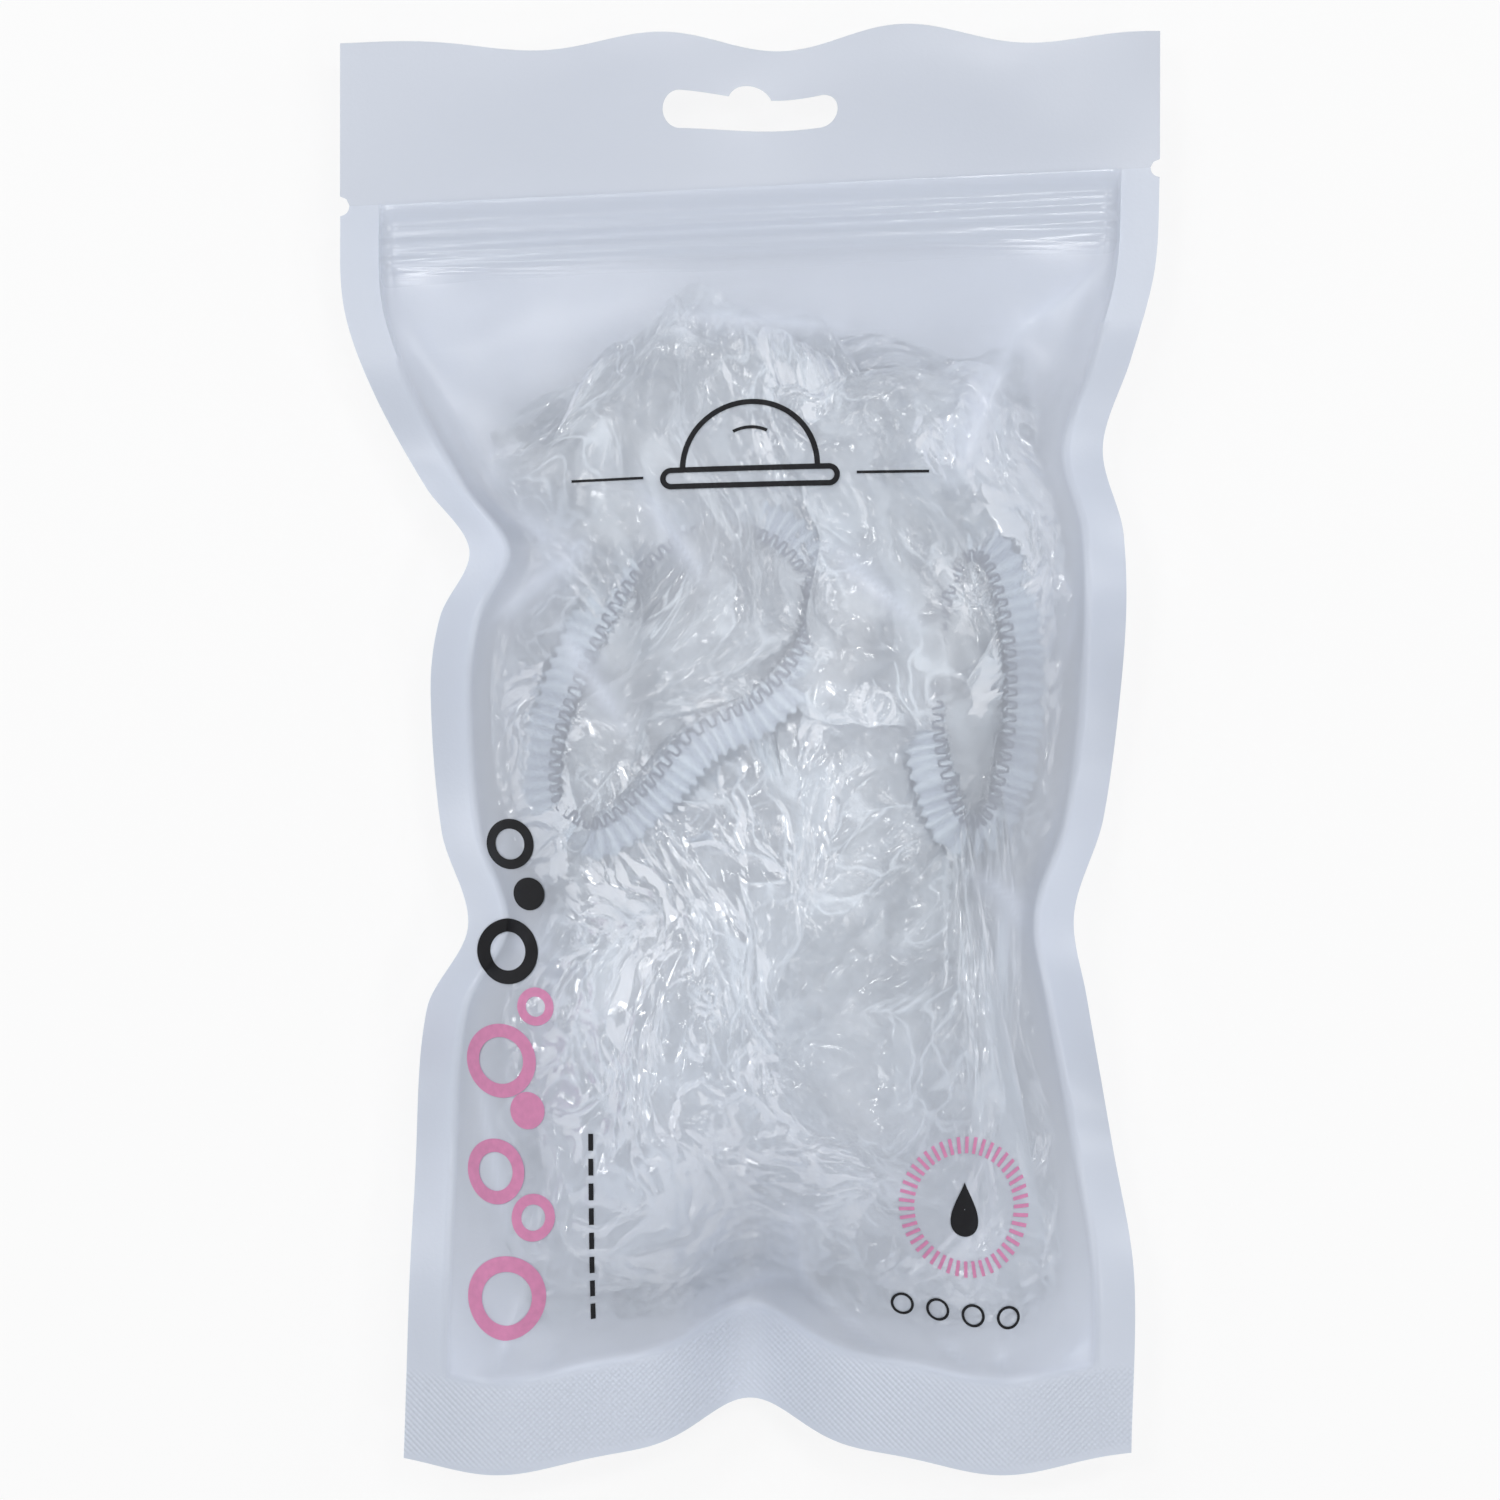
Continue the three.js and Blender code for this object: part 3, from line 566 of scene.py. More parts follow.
def grid_faces(rows, columns, ring=False, loop=False):
    """Corner numbers of the cells of a grid of points, row by row, facing the side that turns left from a
    row to the next. A ring's last column joins its first, and a loop's last row its first."""
    r = np.arange(rows if loop else rows - 1)[:, None]
    c = np.arange(columns if ring else columns - 1)[None, :]
    above, after = (r + 1) % rows, (c + 1) % columns
    corners = ((r, c), (r, after), (above, after), (above, c))
    return np.stack([row * columns + column for row, column in corners], -1).reshape(-1, 4)


def used_only(points, faces, *others):
    """Drops the points that no face has, and the same rows of the other arrays."""
    keep = np.unique(faces)
    place = np.zeros(len(points), int)
    place[keep] = np.arange(len(keep))
    return (points[keep], place[faces], *(other[keep] for other in others))


def closed_curve(points, count):
    """A closed smooth curve through points: cubic pieces whose tangents weigh the chords by the square root
    of their lengths, taken at even steps along it. Gives the places, the unit tangents and the length."""
    p1 = np.array(points, float)
    p0, p2, p3 = np.roll(p1, 1, 0), np.roll(p1, -1, 0), np.roll(p1, -2, 0)
    chords = (p1 - p0, p2 - p1, p3 - p2)
    d0, d1, d2 = (np.sqrt(np.linalg.norm(chord, axis=1))[:, None] for chord in chords)
    m1 = ((p1 - p0) / d0 - (p2 - p0) / (d0 + d1) + (p2 - p1) / d1) * d1
    m2 = ((p2 - p1) / d1 - (p3 - p1) / (d1 + d2) + (p3 - p2) / d2) * d1
    t = np.linspace(0, 1, 200, endpoint=False)[None, :, None]
    second = -3 * p1 + 3 * p2 - 2 * m1 - m2
    third = 2 * p1 - 2 * p2 + m1 + m2
    fine = (p1[:, None] + t * (m1[:, None] + t * (second[:, None] + t * third[:, None]))).reshape(-1, 2)
    looped = np.vstack([fine, fine[:1]])
    far = np.concatenate([[0], np.cumsum(np.linalg.norm(np.diff(looped, axis=0), axis=1))])
    want = np.linspace(0, far[-1], count, endpoint=False)
    places = np.stack([np.interp(want, far, looped[:, k]) for k in range(2)], -1)
    tangents = np.roll(places, -1, 0) - np.roll(places, 1, 0)
    return places, tangents / np.linalg.norm(tangents, axis=1)[:, None], far[-1]


def tube(path, radius, sides):
    """A closed tube of round section along a closed path of points: each section lies across the path,
    turned so that one axis stays upright."""
    ahead = np.roll(path, -1, 0) - np.roll(path, 1, 0)
    ahead /= np.linalg.norm(ahead, axis=1)[:, None]
    side = np.cross(ahead, (0, 0, 1))
    side /= np.maximum(np.linalg.norm(side, axis=1)[:, None], 1e-6)
    up = np.cross(side, ahead)
    angle = np.linspace(0, 2 * math.pi, sides, endpoint=False)
    ring = np.cos(angle)[None, :, None] * side[:, None] + np.sin(angle)[None, :, None] * up[:, None]
    points = (path[:, None] + radius * ring).reshape(-1, 3)
    return points, grid_faces(len(path), sides, ring=True, loop=True)


# Shader nodes


class Link:
    """An output of a shader node. Arithmetic on it adds Math nodes."""

    def __init__(self, finish, socket):
        self.finish = finish
        self.socket = socket

    def math(self, operation, first, second):
        """A Math node with this operation."""
        return self.finish.node("ShaderNodeMath", {"operation": operation}, {0: first, 1: second})

    def __add__(self, other):
        return self.math("ADD", self, other)

    def __radd__(self, other):
        return self.math("ADD", other, self)

    def __sub__(self, other):
        return self.math("SUBTRACT", self, other)

    def __rsub__(self, other):
        return self.math("SUBTRACT", other, self)

    def __mul__(self, other):
        return self.math("MULTIPLY", self, other)

    def __rmul__(self, other):
        return self.math("MULTIPLY", other, self)

    def sine(self):
        """The sine of this value."""
        return self.math("SINE", self, 0.0)


class Finish:
    """A material, or the world, and its nodes."""

    def __init__(self, name, kind="materials"):
        self.owner = getattr(bpy.data, kind).new(name)
        self.owner.use_nodes = True
        self.tree = self.owner.node_tree
        self.tree.nodes.clear()

    def node(self, kind, settings=None, sockets=None, output=0):
        """A node of this type with its settings, then the values or links of its sockets. Gives one of
        its outputs."""
        made = self.tree.nodes.new(kind)
        for setting, value in (settings or {}).items():
            setattr(made, setting, value)
        for socket, value in (sockets or {}).items():
            if isinstance(value, Link):
                self.tree.links.new(value.socket, made.inputs[socket])
            else:
                made.inputs[socket].default_value = value
        return Link(self, made.outputs[output])

    def show(self, surface, output="ShaderNodeOutputMaterial"):
        """Joins a shader to the output. Gives the material or the world."""
        self.tree.links.new(surface.socket, self.tree.nodes.new(output).inputs["Surface"])
        return self.owner

    def place(self):
        """The object's own coordinates."""
        return self.node("ShaderNodeTexCoord", None, None, "Object")

    def noise(self, scale, detail):
        """A fractal noise over the object's own coordinates."""
        sockets = {"Vector": self.place(), "Scale": scale, "Detail": detail, "Roughness": 0.5}
        return self.node("ShaderNodeTexNoise", {"noise_dimensions": "3D"}, sockets)

    def flat_noise(self, vector, scale):
        """A fractal noise over two coordinates."""
        sockets = {"Vector": vector, "Scale": scale, "Detail": 2.0}
        return self.node("ShaderNodeTexNoise", {"noise_dimensions": "2D"}, sockets)

    def drawn_lines(self, scale):
        """A noise stretched into lines by its scale along each axis."""
        stretched = self.node("ShaderNodeMapping", None, {"Vector": self.place(), "Scale": scale})
        sockets = {"Vector": stretched, "Scale": 1.0, "Detail": 2.0}
        return self.node("ShaderNodeTexNoise", {"noise_dimensions": "3D"}, sockets)

    def smooth(self, value, low, high):
        """A smooth step from 0 where the value is low to 1 where it is high."""
        sockets = {0: value, 1: low, 2: high, 3: 0.0, 4: 1.0}
        return self.node("ShaderNodeMapRange", {"interpolation_type": "SMOOTHSTEP"}, sockets)

    def split(self, vector):
        """The first two parts of a vector."""
        parts = self.node("ShaderNodeSeparateXYZ", None, {0: vector}).socket.node.outputs
        return Link(self, parts[0]), Link(self, parts[1])

    def seen(self):
        """1 for what the camera sees, straight, in gloss or through clear film, and 0 for light that falls
        on it."""
        ray = self.node("ShaderNodeLightPath").socket.node.outputs
        names = ("Is Camera Ray", "Is Glossy Ray", "Is Transmission Ray")
        straight, mirrored, passed = (Link(self, ray[name]) for name in names)
        return straight + mirrored + passed

    def mark(self, name):
        """A mark that the mesh holds at its points."""
        return self.node("ShaderNodeAttribute", {"attribute_name": name}, None, "Fac")

    def tints(self, factor, first, second):
        """A mix of two colours."""
        sockets = {0: factor, 6: (*first, 1), 7: (*second, 1)}
        return self.node("ShaderNodeMix", {"data_type": "RGBA"}, sockets, 2)

    def toned(self, factor, tint, dark, light):
        """A tint times a number that goes from dark to light with the factor."""
        first, second = (tuple(min(1.0, part * times) for part in tint) for times in (dark, light))
        return self.tints(factor, first, second)

    def bump(self, height, distance, strength):
        """The normal of a surface raised by a height."""
        sockets = {"Height": height, "Distance": distance, "Strength": strength}
        return self.node("ShaderNodeBump", None, sockets)

    def gloss(self, roughness, normal):
        """A white gloss."""
        sockets = {"Color": (1, 1, 1, 1), "Roughness": roughness, "Normal": normal}
        return self.node("ShaderNodeBsdfGlossy", None, sockets)

    def matte(self, tint):
        """A matte body."""
        return self.node("ShaderNodeBsdfDiffuse", None, {"Color": (*tint, 1)})

    def mirrors(self, index, normal):
        """The share of light that a face of this index mirrors, which grows towards grazing angles."""
        return self.node("ShaderNodeFresnel", None, {"IOR": index, "Normal": normal})

    def mix(self, factor, first, second):
        """A mix of two shaders."""
        return self.node("ShaderNodeMixShader", None, {0: factor, 1: first, 2: second})

    def body(self, sockets):
        """A Principled surface with these sockets."""
        return self.node("ShaderNodeBsdfPrincipled", None, sockets)


def film_finish(name, tint, sealed, opacity):
    """Frosted film: a matte body stops a share of the light, cloudy, and is nearly opaque and in the sealed
    tint along the welds, all under a soft gloss that is the same on both faces. Along its creases it is
    lighter and more opaque: partly the film's stress whitening, partly a painted highlight where the
    creases catch the light.
    The bottom seal is knurled as the product of two sines, and the film over the zip is drawn into fine
    lines and polished."""
    finish = Finish(name)
    cloud = finish.noise(28, 3)
    weld = finish.mark("weld")
    knurl = finish.mark("knurl")
    polish = finish.mark("polish")
    ridge_highlight = finish.mark("ridge_highlight")
    grain = finish.noise(1500, 2)
    across, up = finish.split(finish.place())
    turn = 2 * math.pi / KNURL_PITCH
    pattern = (across * turn).sine() * (up * turn).sine() * knurl
    drawn = finish.drawn_lines((9, 1300, 9)) * polish
    normal = finish.bump(grain * 0.12 + pattern * 0.35 + drawn * 0.8, 0.00025, 0.6)
    stopped = opacity - 0.04 + 0.08 * cloud
    stopped = stopped + weld * (WELD_OPACITY - stopped)
    body = finish.body({
        # ridge_highlight lightens the tint and raises the opacity along the creases: partly stress
        # whitening, partly a painted highlight
        "Base Color": finish.tints(weld * (1 - 0.8 * ridge_highlight), tint, sealed),
        "Roughness": 1.0,
        "Specular IOR Level": 0.0,
        "Alpha": stopped + 0.7 * ridge_highlight * (1 - stopped),
        "Normal": normal,
    })
    roughness = 0.27 + 0.1 * cloud + 0.1 * knurl - 0.14 * polish
    behind = finish.node("ShaderNodeNewGeometry", None, None, "Backfacing")
    index = POUCH_FILM_INDEX - (POUCH_FILM_INDEX - 1 / POUCH_FILM_INDEX) * behind
    return finish.show(finish.mix(finish.mirrors(index, normal), body, finish.gloss(roughness, normal)))


def clear_film_finish(name, tint, haze):
    """Clear film: see-through, with a sharp gloss and a thin haze. Straight-edged cells about 8 mm wide,
    drawn out and bent on the flat film, stand up like hipped roofs, so that the gloss breaks up. White
    patches and broken white lines along the cells' edges, and along the larger creases that the mark
    crease gives, are painted highlights and glints where the film's facets and folds catch the light."""
    finish = Finish(name)
    flat = finish.node("ShaderNodeTexCoord", None, None, "UV")
    drift = finish.flat_noise(flat, 14.0)
    push = {0: Link(finish, drift.socket.node.outputs["Color"]), 1: (0.11, 0.11, 0), 2: flat}
    pushed = finish.node("ShaderNodeVectorMath", {"operation": "MULTIPLY_ADD"}, push)
    drawn = finish.node("ShaderNodeMapping", None, {"Vector": pushed, "Scale": (62, 27, 1)})
    cells = {"voronoi_dimensions": "2D", "feature": "DISTANCE_TO_EDGE"}
    roofs = finish.node("ShaderNodeTexVoronoi", cells, {"Vector": drawn, "Scale": 1.0})
    normal = finish.bump(roofs, 0.0022, 1.0)
    line = finish.smooth(roofs, 0.11, 0.0)
    broken = finish.smooth(drift, 0.46, 0.6)
    painted_bright_patch = finish.smooth(finish.flat_noise(drawn, 0.5), 0.5, 0.66)
    see_through = finish.node("ShaderNodeBsdfTransparent", None, {"Color": (1, 1, 1, 1)})
    clear = finish.mix(finish.mirrors(CAP_FILM_INDEX, normal), see_through, finish.gloss(0.08, normal))
    # The bright patches, the broken lines and the mark crease whiten the film: painted highlights and glints
    # where facets and creases catch the light
    stopped = haze + 0.3 * painted_bright_patch + 0.6 * line * broken + 0.2 * finish.mark("crease")
    return finish.show(finish.mix(stopped, clear, finish.matte(tint)))


def hem_finish(name, tint):
    """Gathered film over white elastic: pale, satin, a little see-through, with fine wrinkles, and painted
    shade that darkens it between its gathers, mixed with a random mottle."""
    finish = Finish(name)
    cloud = finish.noise(220, 3)
    gather_shade_and_mottle = finish.mark("gather") * 0.7 + cloud * 0.3
    return finish.show(finish.body({
        "Base Color": finish.toned(gather_shade_and_mottle, tint, 0.6, 1.1),
        "Roughness": 0.3 + 0.2 * cloud,
        "Alpha": 0.78 + 0.2 * cloud,
        "Normal": finish.bump(finish.noise(900, 3), 0.0004, 0.5),
    }))


def woven_finish(name, tint, scale, rough):
    """Woven or spun yarn: a fine rough grain and small changes of tone."""
    finish = Finish(name)
    cloud = finish.noise(scale, 3)
    return finish.show(finish.body({
        "Base Color": finish.toned(cloud, tint, 0.85, 1.1),
        "Roughness": rough + 0.1 * cloud,
        "Normal": finish.bump(finish.noise(3 * scale, 2), 0.0002, 0.7),
    }))


def zip_finish(name, tint):
    """Moulded zip strip: glossy, half see-through, with faint draw lines along it."""
    finish = Finish(name)
    lines = finish.drawn_lines((20, 2500, 2500))
    return finish.show(finish.body({
        "Base Color": finish.toned(lines, tint, 0.92, 1.08),
        "Roughness": 0.16 + 0.14 * lines,
        "Alpha": 0.55 + 0.2 * lines,
        "Normal": finish.bump(lines, 0.0002, 0.4),
    }))


def ink_finish(name, tint):
    """Printed ink: an even satin coat with a faint mottle."""
    finish = Finish(name)
    mottle = finish.noise(700, 2)
    return finish.show(finish.body({
        "Base Color": finish.toned(mottle, tint, 0.9, 1.1),
        "Roughness": 0.45 + 0.12 * mottle,
        "Specular IOR Level": 0.1,
        "Alpha": 0.95 + 0.05 * mottle,
    }))


def floor_finish(name, tint):
    """A pale table that keeps the shadow under the pouch and shows white to the camera, in gloss and through
    clear film, more so away from the pouch."""
    finish = Finish(name)
    away = finish.node("ShaderNodeVectorMath", {"operation": "LENGTH"}, {0: finish.place()}, "Value")
    white = finish.node("ShaderNodeEmission", None, {"Color": (1, 1, 1, 1), "Strength": 1.0})
    factor = (0.85 + 0.15 * finish.smooth(away, 0.17, 0.5)) * finish.seen()
    return finish.show(finish.mix(factor, finish.matte(tint), white))


# Pieces of the pouch


def settings(context):
    """The sizes of the pouch and of the caps, the finishes and the stage."""
    scene = context.scene
    return scene.pouch_sizes, scene.cap_sizes, scene.pouch_finishes, scene.stage_sizes


def film_grid(bag, lip):
    """Rows up the bag and columns across it: close together over the zip and the seals. Gives s, x, and
    which cells belong to the front lip between the side seals, or don't."""
    strips = 6
    s = np.concatenate([
        np.linspace(0, bag.foot, 20, endpoint=False),
        np.linspace(bag.foot, bag.fold, 186, endpoint=False),
        np.linspace(bag.fold, bag.body - 2, 66, endpoint=False),
        np.linspace(bag.body - 2, bag.body, 10),
    ])[:, None]
    seal = np.linspace(0, 1, strips + 1)
    inner = np.linspace(-1, 1, 133)[1:-1]
    low = bag.left(s) + bag.notch_cut(s)
    high = bag.right(s) - bag.notch_cut(s)
    x = np.hstack([
        low + (bag.left(s) + bag.seal - low) * seal,
        bag.at_share(s, inner),
        high + (bag.right(s) - bag.seal - high) * seal[::-1],
    ])
    s = np.broadcast_to(s, x.shape)
    row_in = (s[:-1, 0] >= bag.fold - 1e-6)[:, None]
    column = np.arange(x.shape[1] - 1)[None, :]
    column_in = (column >= strips) & (column < x.shape[1] - strips - 1)
    return s, x, (row_in & column_in).ravel() == lip


def film_marks(bag, s, x):
    """Marks for the film's finish: weld along the seals, the zip and about half as strong where the film
    stands off the caps, which press on it up to a heap that is higher in the middle, ridge_highlight along
    the creases, which is partly stress whitening and partly painted highlight, knurl over the bottom seal
    and polish over the zip."""
    lens = bag.lens(s, x)
    weld = np.maximum(1 - smoothstep(0, 0.05, lens), 1 - smoothstep(bag.foot - 1.5, bag.foot, s))
    weld = np.maximum(weld, 0.7 * smoothstep(bag.zip - 7, bag.zip - 4, s))
    heap = bag.fold - 16 + 14 * bell(x + 6, 24)
    pressed = smoothstep(bag.foot + 10, bag.foot + 85, s) * (1 - smoothstep(heap, heap + 16, s))
    weld = np.maximum(weld, 0.45 * (1 - smoothstep(0.1, 0.75, lens) * pressed))
    marks = {
        "weld": weld,
        "ridge_highlight": bag.ridge_highlights(s, x),
        "knurl": (1 - smoothstep(bag.foot - 3, bag.foot - 1, s)) * smoothstep(0.5, 2, s),
        "polish": smoothstep(bag.zip - 9, bag.zip - 5, s) * smoothstep(0, 0.06, lens),
    }
    return {mark: values.ravel() for mark, values in marks.items()}


def film_piece(name, bag, skin, finish, lip=None, up=True):
    """A film over the grid, all of it or only what is, or isn't, the front lip."""
    s, x, keep = film_grid(bag, bool(lip))
    points = np.stack([x, bag.y(s, x), skin(s, x)], -1).reshape(-1, 3)
    faces = grid_faces(*x.shape)
    if lip is not None:
        faces = faces[keep]
    if not up:
        faces = faces[:, ::-1]
    marks = film_marks(bag, s, x)
    uv = np.stack([x / 300 + 0.5, s / 270], -1).reshape(-1, 2)
    points, faces, uv, *values = used_only(points, faces, uv, *marks.values())
    return new_piece(name, points, faces, finish, uv, dict(zip(marks, values)))


class POUCH_OT_films(bpy.types.Operator):
    """The pouch's front film, its front lip above the fold, and its back film"""

    bl_idname = "pouch.films"
    bl_label = "Pouch films"

    def execute(self, context):
        sizes, _, finishes, _ = settings(context)
        bag = Bag(sizes)
        finish = film_finish("frosted_film", finishes.film, finishes.sealed, finishes.film_opacity)
        front = film_piece("front_skin", bag, bag.front_skin, finish, lip=False)
        lip = film_piece("lip_skin", bag, bag.front_skin, finish, lip=True)
        behind = film_finish("frosted_back_film", finishes.back, finishes.back, finishes.back_opacity)
        back = film_piece("back_skin", bag, bag.back_skin, behind, up=False)
        fold_y = float(bag.y(np.float64(bag.fold), np.float64(0))) * MM
        fold_z = float(bag.front_z(np.float64(bag.fold), np.float64(0))) * MM
        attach(front, "pouch")
        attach(back, "pouch")
        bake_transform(lip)
        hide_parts("front_film")
        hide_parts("front_lip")
        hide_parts("back_film")
        return {"FINISHED"}


def slot_edge(bag, sizes, cos, sin):
    """The edge of the hang slot, as x and s. A ray from the slot's middle at each angle, stretched along the
    slot, leaves it at its straight side, its round end or its hump, whichever is furthest."""
    middle = bag.top - 1000 * sizes.slot_below_top
    long, high, hump = 500 * sizes.slot_length, 500 * sizes.slot_width, 1000 * sizes.slot_hump
    ray_x, ray_s = long * cos, 2 * high * sin
    size = np.hypot(ray_x, ray_s)
    ray_x, ray_s = ray_x / size, ray_s / size
    straight = high / np.maximum(np.abs(ray_s), 1e-9)
    reach = long - high
    end = np.abs(ray_x) * reach + np.sqrt(np.maximum(high**2 - (ray_s * reach) ** 2, 0))
    far = np.where(straight * np.abs(ray_x) <= reach, straight, end)
    lift = ray_s * high / 2
    over = lift + np.sqrt(np.maximum(hump**2 - (high / 2) ** 2 + lift**2, 0))
    far = np.maximum(far, over)
    return far * ray_x, middle + far * ray_s


def header_edge(bag, sizes, cos, sin):
    """The edge of the header, as x and s. A ray at each angle, in the header's own proportions, meets its
    box, and the edge is drawn in round a tear notch at each lower corner."""
    middle = bag.top - 1000 * sizes.slot_below_top
    far = 1 / np.maximum(np.abs(cos), np.abs(sin))
    x = bag.half * cos * far
    s = middle + np.where(sin > 0, bag.top - middle, middle - bag.body) * sin * far
    side = np.sign(x)
    near = np.hypot(x - side * bag.half, s - bag.body)
    pull = 0.7 * np.maximum(bag.notch - near, 0)
    return x - side * pull, s + pull


def header_grid(bag, sizes):
    """The header's grid, as x, s and z: rings from the slot's edge out to the header's own, at the seal
    level plus a soft noise and a sine across the pouch that grows towards the top."""
    angle = np.linspace(0, 2 * math.pi, 520, endpoint=False)
    cos, sin = np.cos(angle), np.sin(angle)
    inner_x, inner_s = slot_edge(bag, sizes, cos, sin)
    outer_x, outer_s = header_edge(bag, sizes, cos, sin)
    part = np.linspace(0, 1, 26)[:, None] ** 1.2
    x = inner_x + (outer_x - inner_x) * part
    s = inner_s + (outer_s - inner_s) * part
    waved = np.sin(2 * math.pi * x / 61 + 0.6) * smoothstep(bag.body, bag.top, s)
    return x, s, bag.seal_z(s, x) + 0.25 * soft_noise(x, s, 14, 21) + 0.35 * waved


class POUCH_OT_header(bpy.types.Operator):
    """The sealed header with its hang slot, above the tear line"""

    bl_idname = "pouch.header"
    bl_label = "Tear-off header"

    def execute(self, context):
        sizes, _, finishes, _ = settings(context)
        bag = Bag(sizes)
        x, s, z = header_grid(bag, sizes)
        points = np.stack([x, bag.y(s, x), z], -1).reshape(-1, 3)
        faces = grid_faces(*x.shape, ring=True)[:, ::-1]
        uv = np.stack([x / 300 + 0.5, (s - bag.body) / 300], -1).reshape(-1, 2)
        marks = {mark: np.zeros(x.size) for mark in ("weld", "ridge_highlight", "knurl", "polish")}
        finish = film_finish("sealed_film", finishes.header, finishes.header, finishes.header_opacity)
        header = new_piece("header_skin", points, faces, finish, uv, marks)
        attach(header, "header")
        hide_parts("tear_off_header")
        return {"FINISHED"}


class POUCH_OT_zip(bpy.types.Operator):
    """The finish of the zip's rib and channel"""

    bl_idname = "pouch.zip"
    bl_label = "Zip strips"

    def execute(self, context):
        _, _, finishes, _ = settings(context)
        finish = zip_finish("zip_plastic", finishes.zip)
        for name in ("zip_rib", "zip_channel"):
            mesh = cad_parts[name].data
            mesh.materials.clear()
            mesh.materials.append(finish)
        return {"FINISHED"}


# Shower caps


